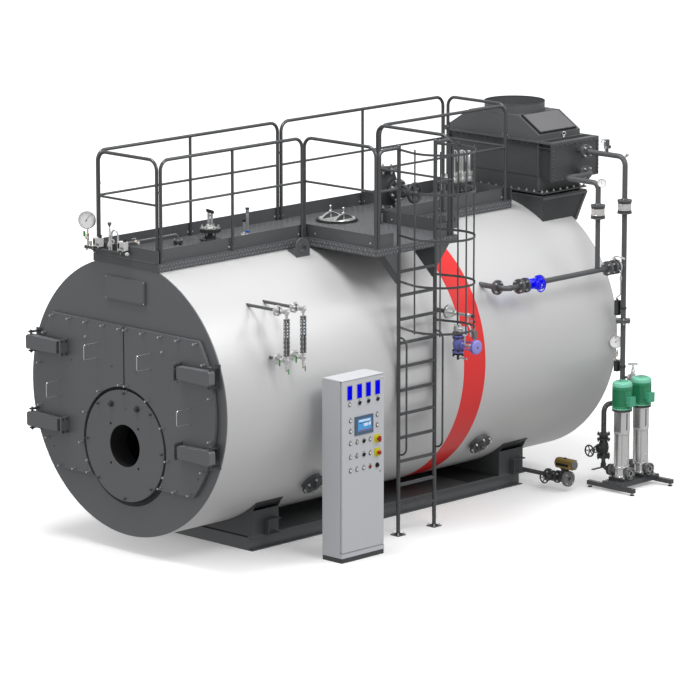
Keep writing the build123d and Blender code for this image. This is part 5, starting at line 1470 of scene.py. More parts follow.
def bonnet(piece, origin, way, neck, near, wide, thick, far, stem, finish=None):
    """Flanged bonnet with gland and the two arms of its yoke, bored for the stem."""
    run = Vector(way).normalized()
    origin = Vector(origin)
    bore = stem + 0.0012
    mid = near + 0.38 * (far - near)
    piece.turned(origin, run, [(0, 0.8 * neck), (0.6 * near, neck), (near - 0.7 * thick, neck),
        (near - 0.6 * thick, wide), (near - 0.06 * thick, wide), (near, 0.96 * wide),
        (near + 0.06 * thick, wide), (near + 0.6 * thick, wide), (near + 0.7 * thick, 0.62 * wide),
        (near + 0.9 * (mid - near), 0.42 * wide), (mid, 0.36 * wide), (mid, 1e-05)], 36, finish)
    side, _ = across(run)
    for turn in (-1, 1):
        piece.tube([origin + run * (near + thick) + side * turn * 0.44 * wide,
            origin + run * (mid + 0.1 * (far - mid)) + side * turn * 0.46 * wide,
            origin + run * (far - 0.004) + side * turn * 1.7 * bore], 0.13 * wide, 0.2 * wide, 10,
            finish, 5)
    piece.turned(origin + run * (far - 0.02), run, [(0, bore), (0, 2.2 * bore), (0.02, 2.2 * bore),
        (0.02, bore)], 20, finish, closed=True)


def make_steam():
    y, low = 0.885, 3.236
    valve = Piece(CAST)
    valve.turned((0, y, low), UP, mm(0, 72, 0, 140.5, 2, 142.5, 20, 142.5, 22, 140.5, 22, 94, 50,
        86, 90, 100, 140, 114, 190, 119, 250, 119, 300, 113, 350, 100, 400, 86, 432, 94, 432,
        140.5, 434, 142.5, 452, 142.5, 454, 140.5, 454, 75, 352, 74, 352, 72), 48, closed=True)
    valve.upright(0, y, low + 0.33, low + 0.356, 0.0755, 40)
    bonnet(valve, (0.07, y, 3.458), RIGHT, 0.088, 0.092, 0.13, 0.023, 0.27, 0.0125)
    valve.made("steam_stop_valve", "cast_fitting", "steam_valve")
    hand_wheel("steam_wheel", "steam_wheel_body", "cast_fitting", "steam_valve_wheel", CAST,
        (0.42, y, 3.458), RIGHT, 0.12, 0.034, 0.014, 0.16, 5)
    spots = bolt_circle((0, y, low + 0.022), UP, 0.12, 8)
    spots += both_faces((0, y, low + 0.443), UP, 0.0115, 0.12, 8)
    spots += bolt_circle((0.185 - 0.009, y, 3.458), RIGHT, 0.113, 8)
    bolts("steam_valve_bolts", spots, (13.5, 13, 16.5, 8, 26), STEEL)
    piece = Piece("satin_steel")
    spots = []
    base = 3.27
    for (station, neck, wide, _), top, r, out in zip(TOP_NOZZLES[2:], (3.78, 3.762, 3.745, 3.516),
            (0.031, 0.029, 0.027, 0.016), (True, True, False, False)):
        py = st(station)
        high = top - base
        joint = 0.42 * high
        piece.turned((0, py, base), UP, [(0, 0.5 * neck), (0, wide), (0.016, wide),
            (0.018, 0.98 * neck), (0.05, 0.72 * neck), (0.23 * high, 0.7 * neck),
            (0.24 * high, 0.6 * neck)], 32, CAST)
        piece.turned((0, py, base), UP, [(0.22 * high, 0.5 * r), (0.225 * high, 1.3 * r),
            (0.27 * high, 1.6 * r), (0.33 * high, 1.55 * r), (0.37 * high, 1.25 * r),
            (joint - 0.018, 1.3 * r), (joint - 0.016, 1.75 * r), (joint, 1.75 * r)], 32)
        piece.turned((0, py, base + joint), UP, [(0, 1.7 * r), (0.012, 1.7 * r), (0.014, 1.1 * r),
            (0.1 * high, 0.8 * r), (0.12 * high, 0.88 * r), (0.46 * high, 0.84 * r),
            (0.48 * high, 0.6 * r), (0.5 * high, 0.6 * r), (0.5 * high, 0.9 * r),
            (0.54 * high, 0.9 * r), (0.558 * high, 0.5 * r), (0.56 * high, 0)], 32, STEEL)
        for px, qy in around(0, py, 1.5 * r, 6, 0):
            piece.upright(px, qy, base + joint - 0.028, base + joint + 0.026, 0.16 * r, 8, ZINC,
                0.001)
        if out:
            z = base + 0.29 * high
            piece.turned((0, py, z), LEFT, [(0, 1.2 * r), (0.11, 1.1 * r), (0.132, 1.2 * r),
                (0.134, 2.1 * r), (0.15, 2.1 * r), (0.15, 0.9 * r), (0.11, 0.85 * r)], 28)
            piece.tube([(0, py, top - 0.022), (0.05, py, top - 0.018), (0.064, py, top - 0.14)],
                0.0065, 0.02, 8, STEEL)
        spots += bolt_circle((0, py, base + 0.016), UP, 0.82 * wide, 4, min(1.0, 14 * wide))
    piece.made("safety_valve_set", "cast_fitting", "safety_valves")
    bolts("safety_valve_bolts", spots, (11, 10, 14, 6.5, 20))


class BOILER_OT_steam(bpy.types.Operator):
    """Steam stop valve with its wheel, and the safety valves"""
    bl_idname = "boiler.steam"
    bl_label = "Steam and safety valves"

    def execute(self, context):
        make_steam()
        return {"FINISHED"}


def drain(y):
    """Surface drain valve with its spring drive and sample cooler pipes."""
    z, top, x = 2.022, 2.358, 1.668
    piece = Piece("drain_valve_paint")
    piece.flange((1.54, y, top), RIGHT, 0.078, 0.016, STEEL)
    piece.level(1.546, 1.9, y, top, 0.0165, 18, STEEL)
    piece.level(1.6, 1.64, y, top, 0.026, 20, STEEL, 0.004)
    piece.level(1.79, 1.83, y, top, 0.024, 20, STEEL, 0.004)
    piece.level(1.872, 1.9, y, top, 0.022, 18, "rubber", 0.004)
    piece.tube([(1.81, y, top), (1.81, y, 2.26), (1.85, y, 2.22), (1.85, y, 2.13)], 0.008, 0.02,
        10, STEEL)
    piece.level(1.84, 1.9, y, 2.3, 0.006, 10, STEEL)
    piece.level(1.895, 1.915, y, 2.3, 0.013, 14, "rubber", 0.003)
    piece.upright(x, y, z + 0.1, top, 0.0165, 18, STEEL)
    piece.turned((x, y, 2.195), RIGHT, mm(-35, 12, -35, 40, -20, 52, 20, 52, 35, 40, 35, 12), 28,
        STEEL)
    piece.bar(x - 0.03, x + 0.034, y, 0.034, 2.222, 2.236, "rubber", 0.003)
    # This pale box glows though it is no lamp: painted light.
    piece.bar(x + 0.085, x + 0.118, y, 0.018, 2.13, 2.225, "screen_pale", 0.004)
    piece.level(x + 0.03, x + 0.08, y, 2.19, 0.012, 14, STEEL)
    piece.upright(x + 0.1, y, 2.03, 2.165, 0.011, 14, STEEL)
    for low in (z - 0.098, z + 0.08):
        piece.flange((x, y, low + 0.009), UP, 0.062, 0.018)
    piece.flange((x, y, z + 0.107), UP, 0.056, 0.016, "rubber")
    piece.flange((x, y, z - 0.108), UP, 0.058, 0.018, "rubber")
    piece.turned((x, y, z - 0.085), UP, mm(0, 28, 14, 34, 40, 52, 85, 61, 130, 52, 156, 34, 170,
        28), 32)
    piece.turned((x, y, z), RIGHT, mm(20, 36, 52, 36, 54, 50, 72, 50, 74, 34, 95, 26, 100, 18), 28)
    for turn in (-1, 1):
        piece.tube([(x + 0.07, y + turn * 0.034, z + turn * 0.02), (x + 0.12, y + turn * 0.046,
            z + turn * 0.03), (x + 0.245, y + turn * 0.046, z + turn * 0.03)], 0.0095, 0.02, 10)
    piece.level(x + 0.09, x + 0.24, y, z, 0.009, 14, STEEL)
    piece.level(x + 0.15, x + 0.185, y, z, 0.018, 18, STEEL, 0.003)
    piece.turned((x + 0.225, y, z), RIGHT, mm(0, 26, 6, 45, 18, 60, 24, 76, 28, 80, 52, 80, 54,
        78), 48)
    # The disc takes the lighter violet: painted light on it.
    piece.turned((x + 0.277, y, z), RIGHT, mm(0, 78, 4, 78, 12, 66, 14, 60, 12, 30, 14, 14, 15, 0),
        48, "drain_disc_painted_light")
    piece.level(x + 0.29, x + 0.296, y, z, 0.012, 6, "dark_steel", 0.001)
    for py, pz in around(y, z, 0.07, 12, 0):
        piece.level(x + 0.244, x + 0.278, py, pz, 0.0055, 6, "dark_steel", 0.001)
    piece.box((x + 0.175, y + 0.03, z + 0.075), (x + 0.212, y + 0.076, z + 0.162), "gauge_body",
        0.004)
    piece.upright(x + 0.19, y + 0.05, z + 0.03, z + 0.08, 0.008, 12, STEEL)
    piece.upright(x, y, z - 0.175, z - 0.11, 0.0135, 14, "rubber", 0.002)
    piece.level(x + 0.09, x + 0.13, y, z - 0.15, 0.011, 14, STEEL, 0.002)
    piece.tube([(x, y, z - 0.165), (x + 0.05, y, z - 0.15), (x + 0.1, y, z - 0.15)], 0.007, 0.02,
        10, STEEL)
    piece.made("surface_drain", "violet_paint", "surface_valve")
    spots = both_faces((1.532, y, top), RIGHT, 0.016, 0.059, 4)
    bolts("surface_drain_bolts", spots, (9, 8, 11, 5.5, 16))
    spots = both_faces((x, y, z + 0.0975), UP, 0.018, 0.05, 4)
    spots += both_faces((x, y, z - 0.0985), UP, 0.0185, 0.05, 4)
    bolts("surface_valve_bolts", spots, (12.5, 14, 14.5, 7, 22), CAST)


def make_gauges():
    piece = Piece(STEEL)
    spots = []
    x = 1.65
    for station in LEVEL_STATIONS:
        y = st(station)
        for z in (LEVEL_HIGH, LEVEL_LOW):
            piece.flange((1.522, y, z), RIGHT, 0.058, 0.015)
            piece.level(1.53, x + 0.024, y, z, 0.0135, 18)
            piece.level(1.553, 1.572, y, z, 0.022, 6, edge=0.003)
            piece.turned((1.58, y, z), RIGHT, mm(0, 14, 6, 24, 34, 24, 40, 14), 24)
            piece.rod((1.6, y, z), (1.6, y - 0.045, z), 0.011, 16)
            piece.rod((1.6, y - 0.036, z), (1.6, y - 0.05, z), 0.017, 6, edge=0.002)
            piece.upright(x, y, z - 0.036, z + 0.036, 0.0215, 24, edge=0.003)
            piece.level(x + 0.012, x + 0.034, y, z, 0.017, 6, edge=0.003)
            spots += both_faces((1.514, y, z), RIGHT, 0.0155, 0.043, 4)
        low, high = LEVEL_LOW + 0.046, LEVEL_HIGH - 0.074
        piece.bar(x - 0.018, x + 0.014, y, 0.029, low, high, "gauge_body", 0.003)
        for a, b in ((y - 0.029, y - 0.011), (y + 0.011, y + 0.029)):
            piece.box((x + 0.012, a, low), (x + 0.0185, b, high), "gauge_body", 0.0015)
        piece.bar(x + 0.0125, x + 0.0145, y, 0.0112, low + 0.01, high - 0.01, CAST, 0.0005)
        for k in range(5):
            z = high - 0.05 - 0.034 * k
            piece.box((x - 0.012, y - 0.0305, z - 0.009), (x + 0.006, y - 0.0285, z + 0.009),
                "white_plastic", 0.0005)
            # The gauge glass glows pale between the marks: painted light.
            piece.bar(x + 0.014, x + 0.0155, y, 0.008, z - 0.009, z + 0.009, "screen_pale", 0.0005)
        count = 8
        for k in range(count):
            z = low + (k + 0.5) * (high - low) / count
            for side in (-1, 1):
                piece.rod((x - 0.01, y + side * 0.029, z), (x - 0.01, y + side * 0.036, z), 0.008,
                    6, ZINC, 0.001)
                piece.level(x + 0.018, x + 0.0215, y + side * 0.02, z, 0.006, 6, ZINC, 0.001)
        piece.upright(x, y, high - 0.002, LEVEL_HIGH, 0.013, 18)
        piece.upright(x, y, LEVEL_LOW - 0.108, low + 0.002, 0.0115, 18)
        piece.upright(x, y, LEVEL_LOW - 0.075, LEVEL_LOW - 0.052, 0.019, 6, edge=0.003)
        cock(piece, (x, y, LEVEL_LOW - 0.09), DOWN, RIGHT, 0.013, "green_plastic", 0.052)
        piece.box((1.594, y - 0.06, LEVEL_LOW - 0.058), (1.606, y - 0.05, LEVEL_LOW + 0.012),
            "green_plastic", 0.002)
        piece.box((1.594, y - 0.06, LEVEL_HIGH - 0.012), (1.606, y - 0.05, LEVEL_HIGH + 0.058),
            "steelwork_paint", 0.002)
    piece.made("level_gauge_set", "fitting_steel", "level_gauges")
    bolts("level_gauge_bolts", spots, (8.5, 8, 11, 5, 14))
    tilt = math.radians(-41.5)
    out = Vector((math.cos(tilt), 0, math.sin(tilt)))
    covers = Piece("dark_steelwork")
    spots = []
    for station in HAND_HOLES:
        seat = Vector((0, st(station), AXIS_Z)) + out * 1.54
        covers.turned(seat, out, mm(0, 50, 0, 136, 4, 140, 21, 140, 25, 136, 25, 112, 21, 108, 21,
            72, 30, 64, 43, 58, 45, 20), 56)
        covers.rod(seat + out * 0.044, seat + out * 0.066, 0.026, 6, "steelwork_paint", 0.003)
        covers.rod(seat + out * 0.06, seat + out * 0.08, 0.014, 16, "steelwork_paint", 0.003)
        spots += bolt_circle(seat + out * 0.025, out, 0.124, 8)
    covers.made("hand_hole_cover_set", "anthracite_paint", "hand_hole_covers")
    bolts("hand_hole_bolts", spots, (11.5, 11, 14.5, 7, 22), STEEL)
    drain(st(3.355))


class BOILER_OT_gauges(bpy.types.Operator):
    """Level gauges with their cocks, hand hole covers and the surface drain valve"""
    bl_idname = "boiler.gauges"
    bl_label = "Gauges and covers"

    def execute(self, context):
        make_gauges()
        return {"FINISHED"}


def make_economizer():
    # The economizer's trim takes the casing's darker paint: painted shade.
    piece = Piece("casing_painted_shade")
    front = 2.66
    piece.box((-0.7, front - 0.007, 3.46), (0.7, front + 0.002, 3.8), edge=0.002)
    piece.box((-0.7, front - 0.018, 3.8), (0.7, front + 0.002, 3.848), edge=0.003)
    piece.box((0.672, front - 0.03, 3.286), (0.7, front + 0.002, 3.848), edge=0.002)
    piece.box((-0.7, front - 0.03, 3.286), (-0.672, front + 0.002, 3.848), edge=0.002)
    piece.box((-0.7, front - 0.006, 3.286), (0.7, front + 0.002, 3.31), edge=0.002)
    low, high, y0, y1 = 3.43, 3.85, 2.595, 3.395
    for a, b, c, d in ((y0, y0 + 0.032, low, high), (y1 - 0.032, y1, low, high),
            (y0 + 0.032, y1 - 0.032, low, low + 0.03), (y0 + 0.032, y1 - 0.032, high - 0.03,
            high)):
        piece.box((0.9295, a, c), (0.9345, b, d), edge=0.001)
    for y in (2.72, 2.99, 3.26):
        piece.bar(-0.716, -0.704, y, 0.006, 3.29, 3.84, edge=0.002)
    for z in (3.46, 3.65):
        piece.box((-0.712, 2.67, z), (-0.704, 3.33, z + 0.012), edge=0.002)
    hood_half, rim, top_half, top = 0.688, 3.929, 0.375, 4.123
    slope = Vector((top_half - hood_half, 0, top - rim))
    length = slope.length
    slope.normalize()
    out = Vector((slope.z, 0, -slope.x))
    seat = Vector((hood_half, 0, rim)) + out * 0.0015

    def on_slope(up, y, lift=0):
        return seat + slope * up * length + out * lift + Vector((0, y, 0))

    def plate(up0, up1, y0, y1, lift, thick, finish, edge):
        piece.prism([on_slope(up0, y0, lift), on_slope(up1, y0, lift), on_slope(up1, y1, lift),
            on_slope(up0, y1, lift)], out * thick, finish, edge)
    y0, y1 = 2.68, 3.3
    # A black plate under the hatch shows as a black border round it: painted shade in the gap round
    # the hatch.
    plate(0.05, 0.97, y0, y1, -0.002, 0.016, "soot", 0.003)
    plate(0.09, 0.93, y0 + 0.018, y1 - 0.018, 0.013, 0.009, "hatch_sheet", 0.002)
    for up in (0.07, 0.95):
        for k in range(7):
            y = y0 + 0.03 + k * (y1 - y0 - 0.06) / 6
            piece.rod(on_slope(up, y, 0.011), on_slope(up, y, 0.019), 0.007, 6, "dark_steelwork",
                0.001)
    for x, y in ((0.71, 3.05), (-0.722, 2.68)):
        piece.upright(x, y, 3.868, 3.882, 0.015, 20, STEEL, 0.003)
        piece.upright(x, y, 3.88, 3.89, 0.008, 14, STEEL)
        piece.hoop((x, y, 3.91), (1, -1, 0), 0.02, 0.0055, 32, 12, STEEL)
    # A thin black sheet on the top plate beside the hood stands for the slot there: painted shade.
    piece.box((0.745, 2.64, 3.869), (0.86, 3.36, 3.8715), "soot", 0.0005)
    piece.box((0.7, front - 0.028, 3.3), (0.74, front + 0.001, 3.309), "steelwork_paint", 0.001)
    piece.box((0.7, front - 0.026, 3.79), (0.9, front + 0.001, 3.8), "steelwork_paint", 0.001)
    piece.box((0.694, front - 0.034, 3.3), (0.702, front + 0.001, 3.846), "steelwork_paint", 0.001)
    # A thin dark plate over the recess beside the casing: painted shade of the recess.
    piece.bar(0.712, 0.905, front, 0.002, 3.436, 3.848, "economizer_shade", 0.0005)
    for side in (-1, 1):
        near, far = sorted((side * 0.8, side * 0.812))
        piece.prism([(near, 3.342, 3.2), (near, 3.16, 2.91), (near, 3.13, 2.91),
            (near, 3.305, 3.2)], (far - near, 0, 0), "steelwork_paint", 0.002)
        piece.box((near, 2.6, 3.205), (far, 3.35, 3.23), "steelwork_paint", 0.002)
    piece.ring((0, 2.9975, 4.222), UP, 0.3475, 0.34, 0.012, 96, edge=0.002)
    piece.ring((0, 2.9975, 4.126), UP, 0.356, 0.3455, 0.008, 96, edge=0.003)
    for side in (-1, 1):
        piece.strap([(side * 0.802, 2.598, 3.215), (side * 0.802, 3.352, 3.215)], UP, 0.03, 0.004)
    piece.made("economizer_trim", "anthracite_paint")
    spots = []
    for z, aim in ((3.285, UP), (3.23, DOWN)):
        for k in range(14):
            x = -0.76 + k * 1.52 / 13
            for y in (2.628, 3.346):
                if aim[2] > 0 or y < 3:
                    spots.append(spot((x, y, z), aim))
        for k in range(6):
            y = 2.7 + k * 0.115
            for side in (-1, 1):
                spots.append(spot((side * 0.768, y, z), aim))
    bolts("economizer_flange_bolts", [s for s in spots if s[1].z > 0], (12.5, 11, 16.5, 7, 20),
        STEEL)
    rim_spots = []
    for k in range(9):
        for y in (2.611, 3.379):
            rim_spots.append(spot((0.9345, y, 3.46 + k * 0.045), RIGHT))
        for z in (3.445, 3.835):
            rim_spots.append(spot((0.9345, 2.66 + k * 0.085, z), RIGHT))
    for k in range(15):
        rim_spots.append(spot((-0.66 + k * 1.32 / 14, 2.642, 3.824), FRONT))
        rim_spots.append(spot((-0.72 + k * 1.58 / 14, 2.612, 3.87), UP))
    bolts("economizer_rim_bolts", rim_spots, (9, 7, 12, 5, 11), "dark_steel")


class BOILER_OT_economizer(bpy.types.Operator):
    """Seams, hatch, eye bolts and fasteners of the economizer"""
    bl_idname = "boiler.economizer"
    bl_label = "Economizer"

    def execute(self, context):
        make_economizer()
        return {"FINISHED"}


def make_feed():
    checks = Piece(STEEL)
    for y in (3.05, 2.593):
        checks.turned((FEED_X, y, 3.12), UP, mm(0, 30, 0, 71, 8, 75, 28, 75, 30, 73, 90, 73, 92,
            75, 112, 75, 120, 71, 120, 30), 48)
        checks.ring((FEED_X, y, 3.18), UP, 0.0745, 0.07, 0.05, 48, "satin_steel", 0.001)
        for z in (3.131, 3.229):
            checks.ring((FEED_X, y, z), UP, 0.0775, 0.07, 0.022, 48, CAST, 0.002)
    checks.made("check_valve_pair", "fitting_steel", "check_valves")
    # The valve and its hand wheel take the glowing blue paint: painted light.
    valve = Piece("feed_valve_paint_glow")
    y, half = 1.503, 0.115
    valve.turned((FEED_X, y - half, FEED_Z), BACK, mm(0, 26, 0, 81, 2, 82.5, 16, 82.5, 18, 81, 18,
        42, 40, 37, 62, 46, 85, 56, 115, 60, 145, 56, 168, 46, 190, 37, 212, 42, 212, 81, 214,
        82.5, 228, 82.5, 230, 81, 230, 26), 40, closed=True)
    valve.rod((FEED_X, y - 0.02, FEED_Z), (FEED_X, y + 0.02, FEED_Z), 0.027, 24)
    bonnet(valve, (FEED_X + 0.02, y, FEED_Z), RIGHT, 0.042, 0.046, 0.056, 0.014, 0.102, 0.0085)
    valve.made("feed_stop_valve", "blue_paint", "feed_valve")
    hand_wheel("feed_wheel", "feed_wheel_body", "blue_paint", "feed_valve_wheel",
        "feed_valve_paint_glow", (FEED_X + 0.13, y, FEED_Z), RIGHT, 0.08, 0.014, 0.008, 0.036)
    small = Piece(STEEL)
    wafer = 2.88
    small.turned((FEED_X, wafer - 0.03, FEED_Z), BACK, mm(0, 35, 0, 58, 6, 64, 54, 64, 60, 58, 60,
        35), 40)
    small.turned((FEED_X, wafer + 0.029, FEED_Z), BACK, mm(0, 66, 0, 83.5, 22, 83.5, 22, 30, 20,
        30, 20, 66), 40, closed=True)
    small.upright(FEED_X, wafer, FEED_Z, FEED_Z + 0.115, 0.014, 18)
    small.upright(FEED_X, wafer, FEED_Z + 0.09, FEED_Z + 0.102, 0.026, 6, edge=0.002)
    small.tube([(FEED_X, wafer, FEED_Z + 0.118), (FEED_X + 0.05, wafer, FEED_Z + 0.13),
        (FEED_X + 0.15, wafer, FEED_Z + 0.112)], 0.0075, 0.05, 10)
    small.rod((FEED_X + 0.1, wafer, FEED_Z + 0.124), (FEED_X + 0.155, wafer, FEED_Z + 0.111),
        0.011, 14, "white_plastic", 0.003)
    small.tube([(FEED_X + 0.062, wafer, FEED_Z - 0.02), (FEED_X + 0.1, wafer, FEED_Z - 0.04),
        (FEED_X + 0.1, wafer, FEED_Z - 0.3), (1.56, 3.008, 2.13), (1.56, 3.008, 2.08)], 0.0065,
        0.03, 10)
    small.upright(FEED_X + 0.1, wafer, FEED_Z - 0.09, FEED_Z - 0.14, 0.014, 6, edge=0.002)
    x, y, z = 1.344, 3.05, 3.743
    small.upright(x, y, z + 0.02, z + 0.062, 0.017, 6, edge=0.003)
    small.turned((x, y, z + 0.06), UP, mm(0, 12, 4, 24, 20, 27, 30, 25, 34, 29, 92, 29, 98, 24,
        100, 12, 108, 12, 112, 8), 28)
    small.level(x, x + 0.05, y, z + 0.09, 0.012, 18)
    small.level(x + 0.045, x + 0.062, y, z + 0.09, 0.02, 20, "dark_steelwork", 0.004)
    small.tube([(x, y - 0.01, z + 0.166), (x - 0.045, y - 0.01, z + 0.166),
        (x - 0.07, y - 0.01, z + 0.12)], 0.0055, 0.02, 10)
    small.rod((FEED_X - 0.01, 3.05, 3.735), (FEED_X + 0.035, 3.05, 3.775), 0.011, 14, edge=0.002)
    small.rod((FEED_X + 0.02, 3.05, 3.762), (FEED_X + 0.04, 3.05, 3.78), 0.018, 6, edge=0.003)
    small.rod((FEED_X - 0.02, 2.593, 3.5), (FEED_X + 0.04, 2.593, 3.506), 0.011, 14)
    dial(small, (1.69, 2.585, 3.51), (1, -1, 0.1), 0.05, 0.45)
    small.made("feed_line_fittings", "fitting_steel")
    welds = Piece("rail_paint")
    for centre, axis, r in (((FEED_X, 2.593, 2.545), UP, 0.0315), ((FEED_X, 3.01, 2.51), BACK,
            0.0315), ((FEED_X, 1.06 + 0.076, 2.51), BACK, 0.031)):
        welds.hoop(centre, axis, r, 0.0032, 32, 8)
    for y in (3.05, 2.593):
        for z, way in ((3.12 - 0.02, -1), (3.26, 1)):
            welds.turned((FEED_X, y, z), (0, 0, way), mm(0, 30, 0, 42, 16, 30.5, 16, 30), 28,
                closed=True)
    welds.made("feed_line_welds", "anthracite_paint")
    spots = []
    for y, half in ((1.503 - 0.115, 0.018), (1.503 + 0.115, 0.018), (1.268 + 0.018, 0.018),
            (2.75 + 0.018, 0.018)):
        spots += both_faces((FEED_X, y, FEED_Z), BACK, half, 0.0635, 4)
    spots += bolt_circle((FEED_X, 2.88 - 0.048, FEED_Z), FRONT, 0.0635, 4)
    spots += bolt_circle((FEED_X, 2.88 + 0.052, FEED_Z), BACK, 0.0635, 4)
    spots += both_faces((1.5, 1.069, FEED_Z), RIGHT, 0.018, 0.0635, 4)
    spots += both_faces((FEED_X, 3.05, 1.868), UP, 0.018, 0.0635, 4)
    for z in (3.743, 3.502):
        spots += both_faces((1.05, 3.05, z), RIGHT, 0.018, 0.0635, 4)
    bolts("feed_line_bolts", spots, (11.5, 11, 13.5, 7, 18), STEEL)


class BOILER_OT_feed(bpy.types.Operator):
    """Feed water: check valves, wafer valve, stop valve, bolts and small instruments"""
    bl_idname = "boiler.feed"
    bl_label = "Feed water line"

    def execute(self, context):
        make_feed()
        return {"FINISHED"}


def column(body, y):
    """Volute with ports, stage column, lantern with its guard and tie rods."""
    base = 0.14
    body.bar(PUMP_X - 0.115, PUMP_X + 0.115, y, 0.085, 0.11, base, CAST, 0.006, 2)
    body.turned((PUMP_X, y, base), UP, mm(0, 88, 6, 90, 16, 90, 22, 74, 100, 72, 108, 88, 110, 90,
        128, 90, 130, 88, 130, 50), 40, "pump_steel")
    for way in (-1, 1):
        body.turned((PUMP_X, y, 0.2), (way, 0, 0), mm(60, 36, 125, 33, 126, 69, 128, 71, 143, 71,
            145, 69, 145, 36, 141, 34, 141, 26, 120, 26, 120, 0), 36, "gauge_body")
        body.ring((PUMP_X + way * 0.1445, y, 0.2), RIGHT, 0.034, 0.026, 0.003, 32, STEEL)
    body.turned((PUMP_X, y, 0.27), UP, mm(0, 62, 0, 74.5, 370, 74.5, 370, 62), 48, "pump_steel")
    body.turned((PUMP_X, y, 0.64), UP, mm(0, 50, 0, 86, 3, 88, 22, 88, 25, 86, 25, 50), 40, STEEL)
    lantern = []
    for x0, y0 in ((-1, -1), (1, -1), (1, 1), (-1, 1)):
        for k in range(5):
            a = math.atan2(y0, x0) + math.radians(-36 + 18 * k)
            lantern.append((PUMP_X + x0 * 0.042 + 0.032 * math.cos(a),
                y + y0 * 0.042 + 0.032 * math.sin(a), 0.665))
    body.prism(lantern, (0, 0, 0.245), "pump_steel", 0.0015)
    body.turned((PUMP_X, y, 0.908), UP, mm(0, 50, 0, 112, 3, 115, 19, 115, 22, 112, 22, 50), 40,
        CAST)
    for (px, py), (qx, qy) in zip(around(PUMP_X, y, 0.079, 4), around(PUMP_X, y, 0.09, 4)):
        body.upright(px, py, 0.262, 0.652, 0.0065, 12, STEEL)
        body.upright(px, py, 0.268, 0.282, 0.0125, 6, STEEL, 0.002)
        body.upright(px, py, 0.664, 0.677, 0.0125, 6, STEEL, 0.002)
        body.upright(qx, qy, 0.896, 0.909, 0.011, 6, STEEL, 0.002)
    for side in (-1, 1):
        for k in range(2):
            body.upright(PUMP_X + side * 0.095, y + (k - 0.5) * 0.14, base, base + 0.014, 0.012, 6,
                STEEL, 0.002)
    body.level(PUMP_X + 0.06, PUMP_X + 0.082, y, 0.36, 0.009, 6, STEEL, 0.002)
    body.bar(PUMP_X + 0.0735, PUMP_X + 0.0755, y, 0.006, 0.69, 0.885, "soot", 0.0005)


def motor(motors, y):
    """Smooth ends round the finned stator, pale fan cowl and terminal box."""
    motors.turned((PUMP_X, y, MOTOR_LOW), UP, mm(0, 50, 0, 105, 4, 111, 30, 113, 36, 110, 38,
        106.5, 228, 106.5, 230, 114, 262, 114.5, 264, 112.5, 264, 50), 48)
    motors.turned((PUMP_X, y, 1.194), UP, mm(0, 50, 0, 112.5, 2, 114, 24, 113.5, 38, 109, 48, 100,
        55, 86, 59, 66, 61, 30, 61, 0), 48, "motor_cap_paint")
    motors.ring((PUMP_X, y, MOTOR_LOW + 0.008), UP, 0.1145, 0.1, 0.012, 48, "motor_cap_paint",
        0.003)
    for k in range(4):
        motors.hoop((PUMP_X, y, 1.2545), UP, 0.022 + 0.014 * k, 0.0014, 40, 6, "motor_paint")
    motors.bar(PUMP_X + 0.07, PUMP_X + 0.148, y, 0.048, 0.978, 1.084, "motor_box_paint", 0.006, 2)
    motors.bar(PUMP_X + 0.147, PUMP_X + 0.157, y, 0.05, 0.976, 1.086, "motor_box_paint", 0.004, 2)
    for sy in (-1, 1):
        for z in (0.983, 1.079):
            motors.level(PUMP_X + 0.156, PUMP_X + 0.159, y + sy * 0.041, z, 0.004, 10,
                "motor_paint", 0.001)
    motors.rod((PUMP_X + 0.11, y - 0.047, 1.01), (PUMP_X + 0.11, y - 0.06, 1.01), 0.011, 6,
        "motor_paint", 0.002)
    motors.hoop((PUMP_X, y - 0.02, 1.256), RIGHT, 0.016, 0.004, 24, 8, "grey_plastic")


def top_valve():
    """Bright stop valve over the manifold with its fixed handle."""
    piece = Piece(STEEL)
    x, y, z = 1.741, 3.1, 1.21
    piece.flange((1.712, y, z), RIGHT, 0.046, 0.014)
    piece.flange((1.696, y, z), RIGHT, 0.046, 0.014)
    piece.level(1.71, 1.8, y, z, 0.02, 20)
    piece.turned((x, y, z), UP, mm(-30, 12, -20, 30, 15, 32, 35, 22, 40, 34, 52, 34, 54, 18, 75,
        16, 78, 6), 28)
    for turn in (-1, 1):
        piece.tube([(x, y + turn * 0.024, z + 0.05), (x, y + turn * 0.028, z + 0.09),
            (x, y + turn * 0.01, z + 0.13)], 0.005, 0.012, 8)
    piece.upright(x, y, z + 0.06, z + 0.17, 0.0065, 12)
    piece.upright(x, y, z + 0.12, z + 0.136, 0.013, 16, edge=0.002)
    piece.hoop((x, y, z + 0.166), UP, 0.052, 0.0065, 40, 10)
    for px, py in around(x, y, 0.047, 3, 0):
        piece.rod((x, y, z + 0.164), (px, py, z + 0.166), 0.004, 8)
    for py, pz in around(y, z, 0.036, 4):
        piece.level(1.682, 1.728, py, pz, 0.0055, 6, ZINC, 0.001)
    piece.made("pump_top_valve", "fitting_steel")


